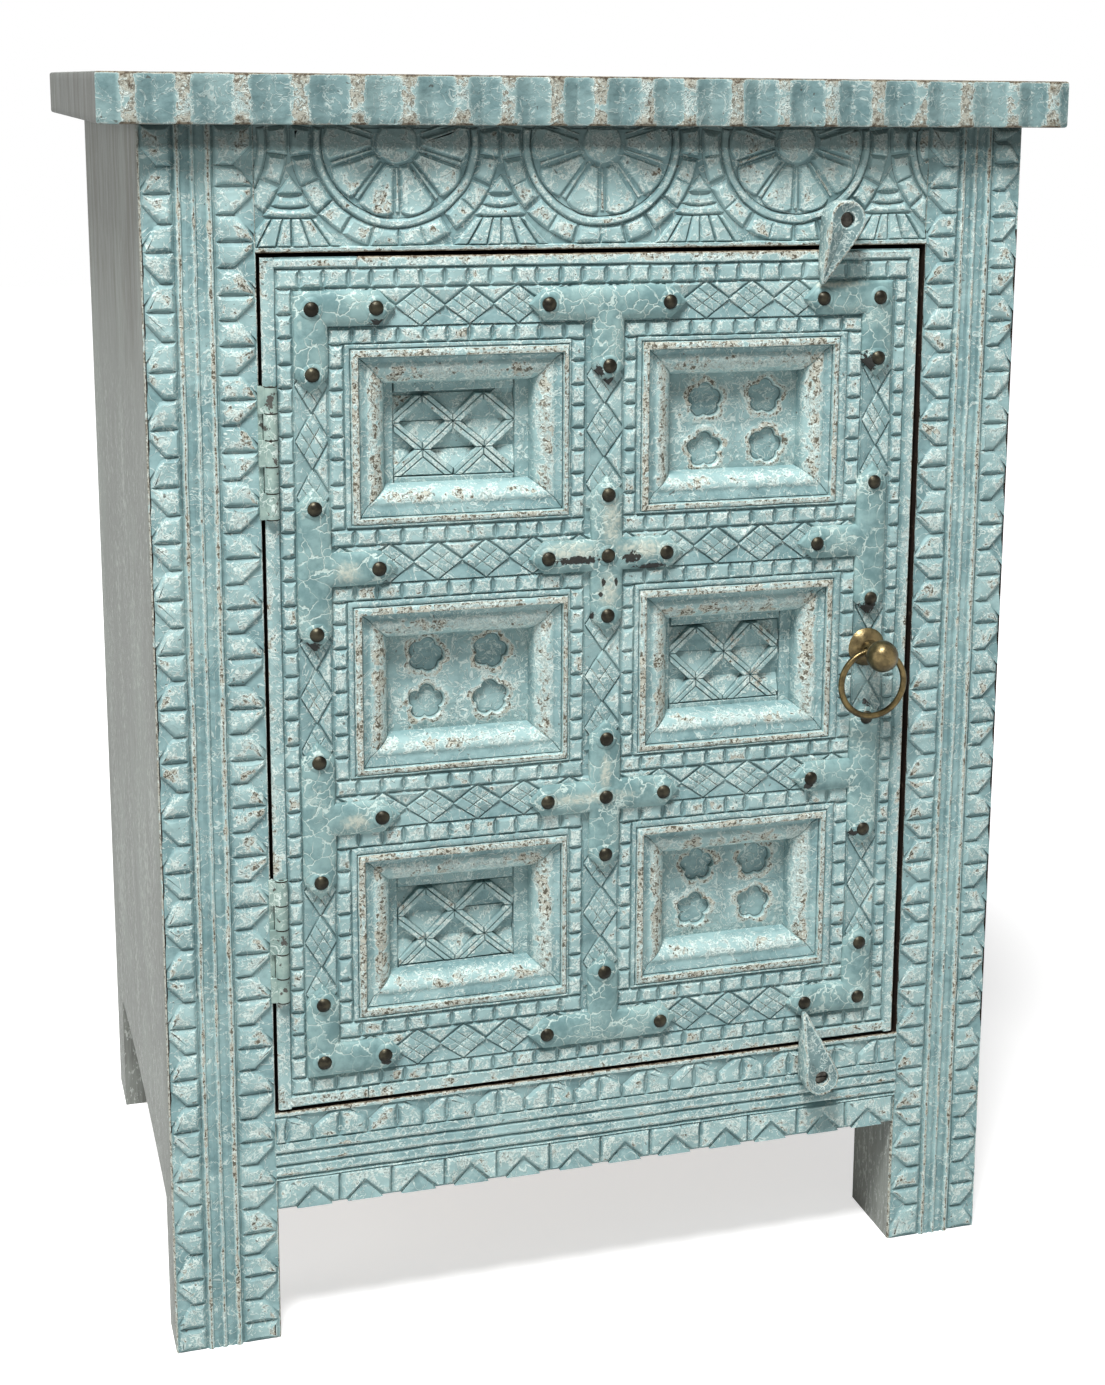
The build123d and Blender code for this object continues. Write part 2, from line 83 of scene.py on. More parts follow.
lens = bpy.data.cameras.new("camera")
lens.sensor_width = 36
lens.lens = lens.sensor_width * focal_pixels / picture_height
lens.shift_x = (picture_width / 2 - axis_right_pixels) / picture_height
lens.shift_y = (axis_down_pixels - picture_height / 2) / picture_height
camera = bpy.data.objects.new("camera", lens)
turn = Matrix((right, up, -ahead)).transposed()
camera.matrix_world = Matrix.Translation((-0.3274, front_y - 1.0537, 0.6564)) @ turn.to_4x4()
bpy.context.scene.collection.objects.link(camera)
bpy.context.scene.camera = camera
bpy.context.scene.view_settings.view_transform = "Standard"


# ------------------------------
# Studio. A pale floor, a bright sky all round and two large soft lamps: the main one above the front
# and to the left, a weaker one to the right.
class Mix:
    """One socket of a finish. Sums on it add Math nodes, and node() adds any other node."""

    def __init__(self, tree, socket=None):
        self.tree = tree
        self.socket = socket

    def node(self, kind, settings=None, sockets=None, out=0):
        made = self.tree.nodes.new(kind)
        for key, value in (settings or {}).items():
            setattr(made, key, value)
        for key, value in (sockets or {}).items():
            if isinstance(value, Mix):
                self.tree.links.new(value.socket, made.inputs[key])
            else:
                made.inputs[key].default_value = value
        return Mix(self.tree, made.outputs[out] if len(made.outputs) else None)

    def math(self, operation, first, second=0.0):
        return self.node("ShaderNodeMath", {"operation": operation}, {0: first, 1: second})

    def __add__(self, other):
        return self.math("ADD", self, other)

    __radd__ = __add__

    def __sub__(self, other):
        return self.math("SUBTRACT", self, other)

    def __rsub__(self, other):
        return self.math("SUBTRACT", other, self)

    def __mul__(self, other):
        return self.math("MULTIPLY", self, other)

    __rmul__ = __mul__

    def __abs__(self):
        return self.math("ABSOLUTE", self)

    def rise(self, low, high):
        """0 below low, 1 above high, and smooth in between. A low above high turns it round."""
        limits = {"Value": self, "From Min": low, "From Max": high}
        return self.node("ShaderNodeMapRange", {"interpolation_type": "SMOOTHSTEP"}, limits)

    def most(self, other):
        return self.math("MAXIMUM", self, other)

    def blend(self, factor, other):
        """This colour, turned to the other one where factor is 1."""
        settings = {"data_type": "RGBA"}
        return self.node("ShaderNodeMix", settings, {"Factor": factor, 6: self, 7: other}, 2)


def rgb(red, green, blue):
    """A screen colour from 0 to 255, as the shaders want it."""
    return tuple(((c / 255 + 0.055) / 1.055) ** 2.4 for c in (red, green, blue)) + (1.0,)


def seen_rays(mix):
    """1 where the background is looked at, straight or in metal and glass, and 0 where it lights."""
    seen = mix.node("ShaderNodeLightPath", out="Is Camera Ray")
    for kind in ("Is Glossy Ray", "Is Transmission Ray"):
        seen = seen.most(mix.node("ShaderNodeLightPath", out=kind))
    return seen


sky = bpy.data.worlds.new("sky")
bpy.context.scene.world = sky
sky.use_nodes = True
sky.node_tree.nodes.clear()
air = Mix(sky.node_tree)
sky_light, sky_seen = 0.15, 1.0
strength = seen_rays(air) * (sky_seen - sky_light) + sky_light
glow = air.node("ShaderNodeBackground", None, {"Color": rgb(255, 255, 255), "Strength": strength})
air.node("ShaderNodeOutputWorld", None, {"Surface": glow})

lamps = {
    # place and aim in metres, size, watts
    "lamp_main": ((-0.6, -1.22, 2.8), (0.0, 0.0, 0.35), 0.8, 134),
    "lamp_side": ((-2.6, -0.35, 1.1), (0.0, 0.0, 0.35), 1.2, 12),
}
for name, (place, aim, size, watts) in lamps.items():
    lamp = bpy.data.lights.new(name, "AREA")
    lamp.shape = "DISK"
    lamp.size = size
    lamp.energy = watts
    holder = bpy.data.objects.new(name, lamp)
    holder.location = place
    holder.rotation_euler = (Vector(aim) - Vector(place)).to_track_quat("-Z", "Y").to_euler()
    bpy.context.scene.collection.objects.link(holder)

floor_mesh = bmesh.new()
bmesh.ops.create_grid(floor_mesh, x_segments=1, y_segments=1, size=6.0)
floor_data = bpy.data.meshes.new("floor")
floor_mesh.to_mesh(floor_data)
floor_mesh.free()
floor = bpy.data.objects.new("floor", floor_data)
bpy.context.scene.collection.objects.link(floor)
floor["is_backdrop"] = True


def start_finish(name):
    """A new material, its empty node tree and the place in the piece's own coordinates."""
    finish = bpy.data.materials.new(name)
    finish.use_nodes = True
    finish.node_tree.nodes.clear()
    mix = Mix(finish.node_tree)
    return finish, mix, mix.node("ShaderNodeTexCoord", out="Object")


def plain_mix(mix, factor, low, high):
    """One colour where factor is 0 and another where it is 1."""
    return mix.node("ShaderNodeMix", {"data_type": "RGBA"}, {"Factor": factor, 6: low, 7: high}, 2)


floor_finish, mix, place = start_finish("floor_paper")
paper = mix.node("ShaderNodeBsdfDiffuse", None, {"Color": rgb(220, 220, 220)})
far = mix.node("ShaderNodeVectorMath", {"operation": "LENGTH"}, {0: place}, "Value").rise(0.5, 1.3)
near_white, white = (0.62, 0.62, 0.62, 1.0), (1.0, 1.0, 1.0, 1.0)
tint = plain_mix(mix, far, near_white, white)
lift = mix.node("ShaderNodeEmission", None, {"Color": tint, "Strength": 1.0})
both = mix.node("ShaderNodeAddShader", None, {0: paper, 1: lift})
shown = mix.node("ShaderNodeMixShader", None, {0: seen_rays(mix), 1: paper, 2: both})
mix.node("ShaderNodeOutputMaterial", None, {"Surface": shown})
floor_data.materials.append(floor_finish)


# ------------------------------
# Paint. Turquoise over a cream undercoat, crackled and rubbed through. Each carved piece carries in a
# vertex attribute how much it is rubbed: below 0 in the cuts, which are darkened with grime and painted
# shade, and 1 on the crowns, which are painted paler with wear and a painted highlight.
def grain(mix, place, scale, detail=3.0, rough=0.55, wander=0.0):
    """Cloudy noise, scale features to the metre."""
    look = {"Vector": place, "Scale": scale, "Detail": detail, "Roughness": rough, "Distortion": wander}
    return mix.node("ShaderNodeTexNoise", None, look)


def stretch(mix, place, factors):
    """The place with each direction drawn out or pressed together."""
    return mix.node("ShaderNodeMapping", None, {"Vector": place, "Scale": factors})


def hairlines(field, width):
    """Wandering lines where a noise passes its middle value."""
    return abs(field - 0.5).rise(width, width * 0.25)


def bump(mix, height, depth):
    return mix.node("ShaderNodeBump", None, {"Height": height, "Distance": depth, "Strength": 1.0}, "Normal")


def surface(mix, colour, roughness, normal, **fixed):
    """The shader of a finish and its output."""
    sockets = {"Base Color": colour, "Roughness": roughness, "Normal": normal}
    sockets.update({key.replace("_", " "): value for key, value in fixed.items()})
    shader = mix.node("ShaderNodeBsdfPrincipled", None, sockets)
    mix.node("ShaderNodeOutputMaterial", None, {"Surface": shader})


turquoise_deep, turquoise, turquoise_pale = rgb(102, 132, 134), rgb(126, 155, 156), rgb(162, 189, 187)
cream, chalk, bare_pink = rgb(214, 226, 219), rgb(190, 208, 204), rgb(178, 175, 160)
bare_brown, grime_and_shade = rgb(82, 77, 64), rgb(46, 54, 51)


def shaded(colour, by):
    """A colour brought up or down as a whole."""
    return tuple(part * by for part in colour[:3]) + (1.0,)


def worn_paint(name, shade=1.0, warmth=0.5, lined=0.75, painted_dimming=0.0, speckled=0.8):
    """The paint of the carved front, with grime and painted shade in the cuts. Where the rubbing passes 2,
    the brown wood shows.
    """
    finish, mix, place = start_finish(name)
    wear_and_shade = mix.node("ShaderNodeAttribute", {"attribute_name": "wear_and_shade"}, out="Fac")
    broad = grain(mix, place, 30, 2)
    patches = grain(mix, place, 125, 3, 0.6, 0.4)
    ragged = grain(mix, place, 300, 4, 0.65, 0.5)
    specks = grain(mix, place, 560, 3, 0.6, 0.8)
    tone = grain(mix, place, 105, 5, 0.7)
    knife = grain(mix, stretch(mix, place, (70.0, 70.0, 110.0)), 1, 2)
    squiggles = hairlines(grain(mix, place, 210, 2, 0.5, 1.2), 0.04)
    long_lines = hairlines(grain(mix, place, 115, 3, 0.55, 0.8), 0.018)
    colour = plain_mix(mix, tone.rise(0.34, 0.62), shaded(turquoise_deep, shade), shaded(turquoise, shade))
    colour = colour.blend(broad.rise(0.44, 0.66) * 0.4, shaded(turquoise_pale, shade))
    rubbed = wear_and_shade * 0.26 + patches * 0.75 + ragged * 0.42
    bare = rubbed.rise(0.92, 0.96)
    edge = abs(rubbed - 0.915).rise(0.035, 0.012) * wear_and_shade.rise(0.0, 0.4)
    warm = (grain(mix, place, 48, 3, 0.6) + specks * 0.25).rise(0.68 - 0.16 * warmth, 0.76 - 0.16 * warmth)
    warm = warm.most((wear_and_shade + specks * 0.6).rise(1.75, 2.05))
    lines = (squiggles * wear_and_shade.rise(0.1, 0.7) * patches.rise(0.42, 0.5)).most(long_lines * lined)
    # Paler on the raised crowns: wear, and a painted highlight
    colour = colour.blend(wear_and_shade.rise(0.2, 1.2) * 0.55, turquoise_pale)
    colour = colour.blend(lines * 0.75, cream)
    colour = colour.blend(edge * 0.7, cream)
    colour = colour.blend(bare * 0.8, chalk)
    colour = colour.blend(bare * specks.rise(0.5, 0.42) * 0.6, shaded(turquoise, shade))
    colour = colour.blend(bare * warm * 0.85, bare_pink)
    colour = colour.blend(bare * squiggles * 0.8, cream)
    colour = colour.blend(bare * (warm * speckled + 0.15) * specks.rise(0.51, 0.57), bare_brown)
    wood = (wear_and_shade + ragged * 1.2).rise(2.35, 2.6)
    colour = colour.blend(wood * 0.85, rgb(118, 106, 86))
    colour = colour.blend(wood * specks.rise(0.46, 0.56) * 0.8, rgb(70, 58, 47))
    flecks = grain(mix, place, 330, 2, 0.5, 0.5).rise(0.7, 0.74)
    colour = colour.blend(flecks * 0.7, rgb(70, 62, 54))
    # Darker in the cuts, where the rubbing attribute is below 0: grime and painted shade
    colour = colour.blend((wear_and_shade - specks * 0.2).rise(-0.25, -0.45) * 0.6, grime_and_shade)
    # Painted shadow of the slab on the carving just below it
    height_up = mix.node("ShaderNodeSeparateXYZ", None, {0: place}, 2)
    painted_slab_shadow = (height_up + specks * 0.005 - 0.0025).rise(0.6225, 0.6265) * height_up.rise(0.6365, 0.636)
    colour = colour.blend(painted_slab_shadow * 0.62, grime_and_shade)
    # The whole colour is darkened by this share: painted shade, for the slab front, which takes more light
    # than the carved stiles
    if painted_dimming:
        colour = colour.blend(painted_dimming, rgb(0, 0, 0))
    height = tone * 0.5 + specks * 0.4 - bare * 0.9 + lines * 0.4 + knife * 2.4
    surface(mix, colour, 0.5 + specks * 0.2, bump(mix, height, 0.5 * MM), Specular_IOR_Level=0.22)
    return finish


front_paint = worn_paint("worn_turquoise")
# The slab's copy of the paint is darkened as a whole: painted shade
slab_front_paint = worn_paint("worn_turquoise_slab", 0.9, 0.8, 0.5, 0.19, 0.5)


# ------------------------------
# Slab. One thick plank whose front edge is gouged into upright flutes. Narrow crests stay between
# them, and there the paint is rubbed through. The long edges are softened by wear.
def shaped(bm, name, finish, body, nodes=(), sharp=35, shift=True):
    """Brings a shape from millimetres to its place, makes it a piece and hands it to the frame."""
    bmesh.ops.recalc_face_normals(bm, faces=bm.faces[:])
    offset = Vector((0, front_y, 0)) if shift else Vector()
    bm.transform(Matrix.Translation(offset) @ Matrix.Scale(MM, 4))
    data = bpy.data.meshes.new(name)
    bm.to_mesh(data)
    bm.free()
    data.shade_smooth()
    data.set_sharp_from_angle(angle=radians(sharp))
    data.materials.append(finish)
    piece = bpy.data.objects.new(name, data)
    bpy.context.scene.collection.objects.link(piece)
    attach(piece, body)
    if nodes:
        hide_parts(*nodes)
    return piece


def raise_faces(bm, faces, keep=True):
    """Extrudes faces. Gives the new corners and the new faces, which still lie on the old ones."""
    grown = bmesh.ops.extrude_face_region(bm, geom=faces, use_keep_orig=keep)["geom"]
    kinds = (bmesh.types.BMVert, bmesh.types.BMFace)
    return [[part for part in grown if isinstance(part, kind)] for kind in kinds]


node_boxes = {}


def node_box(node):
    """A node's lowest and highest corner in millimetres, in the cabinet's own directions."""
    if node not in node_boxes:
        place = Vector((0, front_y, 0))
        node_boxes[node] = [(Vector(corner) - place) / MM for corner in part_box(node)]
    return node_boxes[node]


slab_low, slab_high = node_box("top_slab")
crests = [-236, -210.5, -183.5, -156, -129, -104, -78, -55, -30.5, -8.5]
crests += [15.5, 38, 63, 88, 114, 140, 164, 190, 216.5, 240]
crest_width, flute_depth, flute_steps = 5.5, 3.0, 8

bm = bmesh.new()
starts = [2 * slab_low.x - crests[0]] + crests
ends = crests + [2 * slab_high.x - crests[-1]]
edge_points = []
for start, end in zip(starts, ends):
    half = (end - start - crest_width) / 2
    middle = (start + end) / 2
    for step in range(flute_steps + 1):
        across = -1 + 2 * step / flute_steps
        x = middle + across * half
        if slab_low.x <= x <= slab_high.x:
            edge_points.append((x, slab_low.y + flute_depth * (1 - abs(across) ** 1.1)))
outline = [(slab_low.x, slab_low.y + flute_depth)] + edge_points[1:-1]
outline += [(slab_high.x, slab_low.y + flute_depth), (slab_high.x, slab_high.y), (slab_low.x, slab_high.y)]
under = bm.faces.new([bm.verts.new((x, y, slab_low.z)) for x, y in outline])
bmesh.ops.translate(bm, verts=raise_faces(bm, [under])[0], vec=(0, 0, slab_high.z - slab_low.z))
rims = [e for e in bm.edges if abs(e.verts[0].co.z - e.verts[1].co.z) < 1]
bmesh.ops.bevel(bm, geom=rims, offset=1.3, segments=2, profile=0.5, material=-1, affect="EDGES")
for height in (slab_low.z + 4, slab_low.z + 8, slab_high.z - 7, slab_high.z - 4):
    bmesh.ops.bisect_plane(
        bm, geom=bm.verts[:] + bm.edges[:] + bm.faces[:], plane_co=(0, 0, height), plane_no=(0, 0, 1)
    )
wear_and_shade = bm.verts.layers.float.new("wear_and_shade")
for v in bm.verts:
    crest_gap = min(abs(v.co.x - crest) for crest in crests)
    from_edge = min(v.co.z - slab_low.z, slab_high.z - v.co.z)
    flare = (2.6 if v.co.z < slab_low.z + 8 else 1.2) * max(0.0, 1 - from_edge / 6)
    rubbed = 1.4 + 0.5 * noise.noise(Vector((v.co.x, 0, v.co.z)) / 17)
    centre_gap = min(abs(v.co.x - (start + end) / 2) for start, end in zip(starts, ends))
    v[wear_and_shade] = max(0.6 if centre_gap < 0.3 else 0.12, min(1.8, rubbed - (crest_gap - 2.8 - flare) / 1.6))
    if from_edge < 1.0:
        v[wear_and_shade] = 2.4 if v.co.z > slab_high.z - 2 or crest_gap < 5 else 1.1
    if v.co.y > slab_low.y + flute_depth + 3:
        v[wear_and_shade] = 0.75 if from_edge < 1.0 else 0.0
slab = shaped(bm, "slab", slab_front_paint, "carcass", ["top_slab"])

# The slab's upper face and ends are painted grey-green and brushed along the plank


def brushed_paint(name, along, shade=1.0, spread=12, mottled=0.35, drawn=0.6):
    """Thin grey-green paint over planed boards, with streaks along the wood."""
    finish, mix, place = start_finish(name)
    squeeze = [75.0, 75.0, 75.0]
    squeeze[along] = 4.0
    fibre = grain(mix, stretch(mix, place, squeeze), 9, 6, 0.65)
    squeeze = [30.0, 30.0, 30.0]
    squeeze[along] = 1.6
    streak = grain(mix, stretch(mix, place, [s * 0.28 for s in squeeze]), 8, 4, 0.6)
    cloud = grain(mix, place, 9, 4, 0.6)
    speck = grain(mix, place, 700, 2)
    low_grey = shaded(rgb(134 - spread, 137 - spread, 132 - spread), shade)
    high_grey = shaded(rgb(140 + spread, 145 + spread, 139 + spread), shade)
    colour = plain_mix(mix, fibre.rise(0.32, 0.68), low_grey, high_grey)
    colour = colour.blend(cloud.rise(0.5, 0.62) * mottled, shaded(rgb(156, 163, 156), shade * 1.05))
    squeeze[along] = 3.0
    dragged = grain(mix, stretch(mix, place, [s * 1.4 for s in squeeze]), 11, 4, 0.65)
    height_up = mix.node("ShaderNodeSeparateXYZ", None, {0: place}, 2)
    drags = (streak * 0.5 + dragged * 0.5).rise(0.47, 0.56) * height_up.rise(0.49, 0.56)
    colour = colour.blend(drags * drawn, shaded(rgb(92, 88, 78), shade))
    flecks = grain(mix, stretch(mix, place, (520.0, 520.0, 190.0)), 1, 4, 0.7)
    drifts = grain(mix, stretch(mix, place, (34.0, 34.0, 9.0)), 1, 3)
    flecks = (flecks * 0.85 + drifts * 0.25).rise(0.6, 0.65)
    flecks = flecks * height_up.rise(0.54, 0.44)
    colour = colour.blend(flecks * 0.58, shaded(rgb(208, 214, 208), shade * 1.15))
    height = fibre * 0.5 + speck * 0.2 + streak * 0.2
    surface(mix, colour, 0.66 + fibre * 0.12, bump(mix, height, 0.35 * MM))
    return finish


side_paint = brushed_paint("brushed_grey_upright", 2, 0.74)
slab_paint = brushed_paint("brushed_grey_along", 0, 0.6, 8, 0.4, 0.15)
end_paint = brushed_paint("brushed_grey_end", 2, 0.5, 26, 0.9)


def repaint(piece, paint, wanted):
    """Other paint for the faces that wanted() picks by their middle in millimetres and their normal."""
    piece.data.materials.append(paint)
    for face in piece.data.polygons:
        if wanted((face.center - Vector((0, front_y, 0))) / MM, face.normal):
            face.material_index = len(piece.data.materials) - 1


plain_from = slab_low.y + flute_depth + 0.5
repaint(slab, slab_paint, lambda spot, normal: normal.y > 0.5 or (
    spot.y > plain_from and abs(normal.z) > 0.5))
repaint(slab, end_paint, lambda spot, normal: spot.y > plain_from and abs(normal.x) > 0.8)


# ------------------------------
# Front stiles. Each runs down to the floor as a leg. Three worn reeds run its whole length between
# two bands of fields; every other cut between the fields ends in a three-cornered chip at the edge.
slip_seed, wander_seed = 7, 7
chance = random.Random(slip_seed)
noise.seed_set(wander_seed)
ground = 1.85

# Bare wood in the narrow gaps round the door, painted near black: painted shade in the gaps
gap_wood_and_shade, mix, place = start_finish("bare_wood_and_shade")
fibre = grain(mix, stretch(mix, place, (90.0, 90.0, 6.0)), 8, 4, 0.6)
blotch = grain(mix, place, 260, 3)
colour = plain_mix(mix, fibre.rise(0.35, 0.65), rgb(24, 19, 16), rgb(40, 31, 25))
colour = colour.blend(blotch.rise(0.62, 0.7) * 0.6, rgb(82, 72, 60))
surface(mix, colour, 0.75 + fibre * 0.1, bump(mix, fibre, 0.2 * MM), Specular_IOR_Level=0.1)


def pairs(points):
    """Each point with the next one, and the last with the first."""
    return zip(points, points[1:] + points[:1])


def clipped(outline, axis, limit, keep_below):
    """The part of an outline on one side of a limit along one of its coordinates."""
    sign = -1 if keep_below else 1
    kept = []
    for here, there in pairs(outline):
        gap_here, gap_there = sign * (here[axis] - limit), sign * (there[axis] - limit)
        if gap_here >= 0:
            kept.append(here)
        if gap_here * gap_there < 0:
            share = gap_here / (gap_here - gap_there)
            kept.append(tuple(a + (b - a) * share for a, b in zip(here, there)))
    return kept


def area_and_length(outline):
    """The area inside an outline and its length."""
    sides = list(pairs(outline))
    area = sum(p[0] * q[1] - q[0] * p[1] for p, q in sides) / 2
    return abs(area), sum(hypot(p[0] - q[0], p[1] - q[1]) for p, q in sides)


def framed(outlines, low_x, high_x, low_z, high_z, slim=0.9):
    """Outlines clipped to a rectangle; slivers drop out."""
    kept = []
    limits = ((0, high_x, True), (0, low_x, False), (1, high_z, True), (1, low_z, False))
    for outline in outlines:
        for axis, limit, below in limits:
            if outline:
                outline = clipped(outline, axis, limit, below)
        if len(outline) > 2:
            area, length = area_and_length(outline)
            if area > slim * length:
                kept.append(outline)
    return kept


def stood(outlines):
    """Outlines drawn along a level band, turned to run up an upright one."""
    return [[(point[1], point[0]) + tuple(point[2:]) for point in outline] for outline in outlines]


def new_shape():
    """An empty shape, and its layer for how much each corner is rubbed."""
    bm = bmesh.new()
    return bm, bm.verts.layers.float.new("wear_and_shade")


def add_corner(bm, wear_and_shade, x, depth, z, wear):
    vert = bm.verts.new((x, depth, z))
    vert[wear_and_shade] = wear
    return vert


def field_tops(bm, feet, level):
    """Turns the feet of fields to the front, raises them to a level and gives their tops."""
    for foot in feet:
        foot.normal_update()
        if foot.normal.y > 0:
            foot.normal_flip()
    tops = raise_faces(bm, feet)[1]
    for top in tops:
        for vert in top.verts:
            vert.co.y = level
    return tops


def held(value, low, high, margin):
    """The value kept a margin inside low and high, or in their middle if that is too narrow."""
    middle = (low + high) / 2
    return min(max(value, min(low + margin, middle)), max(high - margin, middle))


shortest_side = 0.35
carved_field = ((1.1, 0.8, 0.3), (0.7, 0.2, 0.85), (1.0, 0.0, 1.05))


class Board:
    """A carved board, swept from its cross-section. What is carved on it is given as (x, z)."""

    def __init__(self, section, start, end, back, upright, step=9):
        """section lists side, depth behind the front and wear, from the low side to the high one."""
        self.bm, self.wear_and_shade = new_shape()
        self.rubbed = lambda x, z: 0.0
        across = (section[0][0], section[-1][0])
        self.limits = across + (start, end) if upright else (start, end) + across
        corners = list(section) + [(section[-1][0], back, 0.0), (section[0][0], back, 0.0)]
        foot = []
        for side, depth, wear in corners:
            x, z = (side, start) if upright else (start, side)
            foot.append(self.corner(x, z, depth, wear))
        head = self.bm.faces.new(foot)
        count = max(1, round((end - start) / step))
        pace = Vector((0, 0, 1) if upright else (1, 0, 0)) * (end - start) / count
        for i in range(count):
            moved, heads = raise_faces(self.bm, [head], i == 0)
            bmesh.ops.translate(self.bm, verts=moved, vec=pace)
            head = heads[0]

    def corner(self, x, z, depth, wear):
        return add_corner(self.bm, self.wear_and_shade, x, depth, z, wear)

    def fields(self, outlines, levels=carved_field, base=ground, jitter=0.16):
        """Islands left standing. levels are steps inwards: width, depth behind the front and wear."""
        groups = {}
        for outline in outlines:
            outline = [a for a, b in pairs(outline) if hypot(a[0] - b[0], a[1] - b[1]) > shortest_side]
            if len(outline) < 3:
                continue
            # Narrow fields take narrower steps
            area, length = area_and_length(outline)
            room = [max(p[k] for p in outline) - min(p[k] for p in outline) for k in (0, 1)]
            widest = min(1.2 * area / length, 0.42 * min(room))
            share = min(1.0, widest / sum(level[0] for level in levels))
            groups.setdefault(max(1, int(share * 5)) / 5, []).append(outline)
        for share, group in groups.items():
            narrowed = [(width * share, depth, wear) for width, depth, wear in levels]
            self.raised(group, narrowed, base, jitter)

    def raised(self, outlines, levels, base, jitter):
        feet = []
        for outline in outlines:
            feet.append(self.bm.faces.new([self.corner(x, z, base + 0.9, -0.4) for x, z in outline]))
        tops = field_tops(self.bm, feet, base)
        level = base
        for width, depth, wear in levels:
            spans = [[[c(v.co[k] for v in top.verts) for c in (min, max)] for k in (0, 2)] for top in tops]
            bmesh.ops.inset_individual(
                self.bm, faces=tops, thickness=width, depth=level - depth, use_even_offset=True
            )
            level = depth
            for top, (x_span, z_span) in zip(tops, spans):
                for vert in top.verts:
                    vert[self.wear_and_shade] = wear + (self.rubbed(vert.co.x, vert.co.z) if wear > 0.5 else 0.0)
                    # The upper edge of each field is cut flatter than the lower one
                    vert.co.z -= 0.36 * width if depth == levels[0][1] else 0.0
                    vert.co.x = held(vert.co.x, *x_span, width * 0.7)
                    vert.co.z = held(vert.co.z, *z_span, width * 0.7)
        for top in tops:
            sink, tilt_x, tilt_z = (chance.uniform(-a, a) for a in (jitter, 0.03, 0.05))
            middle = top.calc_center_median()
            for vert in top.verts:
                tilt = (vert.co.x - middle.x) * tilt_x + (vert.co.z - middle.z) * tilt_z
                vert.co.y += 0.2 * jitter + sink + max(-0.3, min(0.3, tilt)) * (jitter > 0.1)

    def chips(self, facets, wear=0.12):
        """Cut facets, each a small closed wedge. Corners are (x, z, depth)."""
        feet, depths = [], {}
        for corners in facets:
            under = max(depth for x, z, depth in corners) + 0.9
            feet.append(self.bm.faces.new([self.corner(x, z, under, wear) for x, z, depth in corners]))
            depths.update({tuple(vert.co): corner[2] for vert, corner in zip(feet[-1].verts, corners)})
        if not feet:
            return
        for vert in raise_faces(self.bm, feet)[0]:
            vert.co.y = depths[tuple(vert.co)]

    def done(self, name, body, slot, nodes, sway=0.42):
        """Lets the knife wander a little, except at the board's ends and sides, and hands it over."""
        low_x, high_x, low_z, high_z = self.limits
        for vert in self.bm.verts:
            x, z = vert.co.x, vert.co.z
            free = max(0.0, min(1.0, (x - low_x) / 4, (high_x - x) / 4, (z - low_z) / 4, (high_z - z) / 4))
            pull = noise.noise_vector(Vector((x, 0, z)) / 13) * sway
            pull += noise.noise_vector(Vector((x + 400, 0, z)) / 4.1) * sway * 0.35
            vert.co.x += pull.x * free
            vert.co.z += pull.z * free
            if vert.co.y < 14:
                vert.co.y += 0.3 * abs(pull.y)
        return shaped(self.bm, name, front_paint, body, nodes, 26)


def chip_row(cuts, inner, outer):
    """Fields between cuts along x, and chips at the outer side where a cut is marked."""
    apex = inner + 0.5 * (outer - inner)
    tip = outer - (1.6 if outer > inner else -1.6)
    fields, chips = [], []
    for (low, low_chip), (high, high_chip) in zip(cuts, cuts[1:]):
        outline = []
        if low_chip:
            outline += [(low - 0.3, inner), (low + 0.35, (inner + apex) / 2), (low + 0.2, apex)]
            outline += [(min(low + 9, high - 1), outer)]
        else:
            outline += [(low - 0.5, inner)] + [(low + 0.55, inner + (tip - inner) * s) for s in (0.25, 0.75)]
            outline += [(low - 0.5, tip), (low - 0.4, outer)]
        if high_chip:
            reach = min(10.0, high - low - 1)
            shares = (1, 0.75, 0.5, 0.25, 0)
            outline += [(high - reach * t**2 - 0.2, apex + (outer - apex) * t) for t in shares]
            outline += [(high - 0.35, (inner + apex) / 2), (high + 0.3, inner)]
        else:
            outline += [(high + 0.4, outer), (high + 0.5, tip)]
            outline += [(high - 0.55, inner + (tip - inner) * s) for s in (0.75, 0.25)]
            outline += [(high + 0.5, inner)]
        fields.append(outline)
    for place, chip in cuts[1:-1]:
        if chip:
            chips.append([(place, apex, 1.6), (place + 9, outer, 2.3), (place - 9.5, outer, 0.5)])
    return fields, chips


def cut_places(first, pitch, low, short_cut, high):
    """Evenly spaced cuts down a band, alternately plain and chipped, a little unsteady."""
    cuts, place, chip = [], first, False
    while place > low + pitch * 0.6:
        cuts.append((place + chance.uniform(-0.8, 0.8), chip))
        place -= pitch
        chip = not chip
    return [(low, False)] + cuts[::-1] + [(short_cut, True), (high, False)]


# One reed and the flute beside it: step across, depth and wear
reeds = [(0, 2.0, -0.3), (0.8, 0.4, 0.9), (1.7, 0, 1.85), (2.7, 0.3, 1.3), (3.4, 1.4, -0.1), (5.4, 0.9, 0.2)]
reeds += [(7.3, 1.5, -0.2), (8.1, 0.4, 0.8), (8.9, 0.0, 1.7), (9.7, 0.4, 0.8), (10.4, 1.5, -0.2)]
reeds += [(12.8, 0.9, 0.2)]
reeds += [(14.6, 1.4, -0.1), (15.4, 0.3, 1.3), (16.5, 0, 1.85), (17.6, 0.4, 0.9), (18.4, 2.0, -0.3)]
door_opening = (node_box("apron_rail")[1].z - 3, node_box("frieze_rail")[0].z + 3)
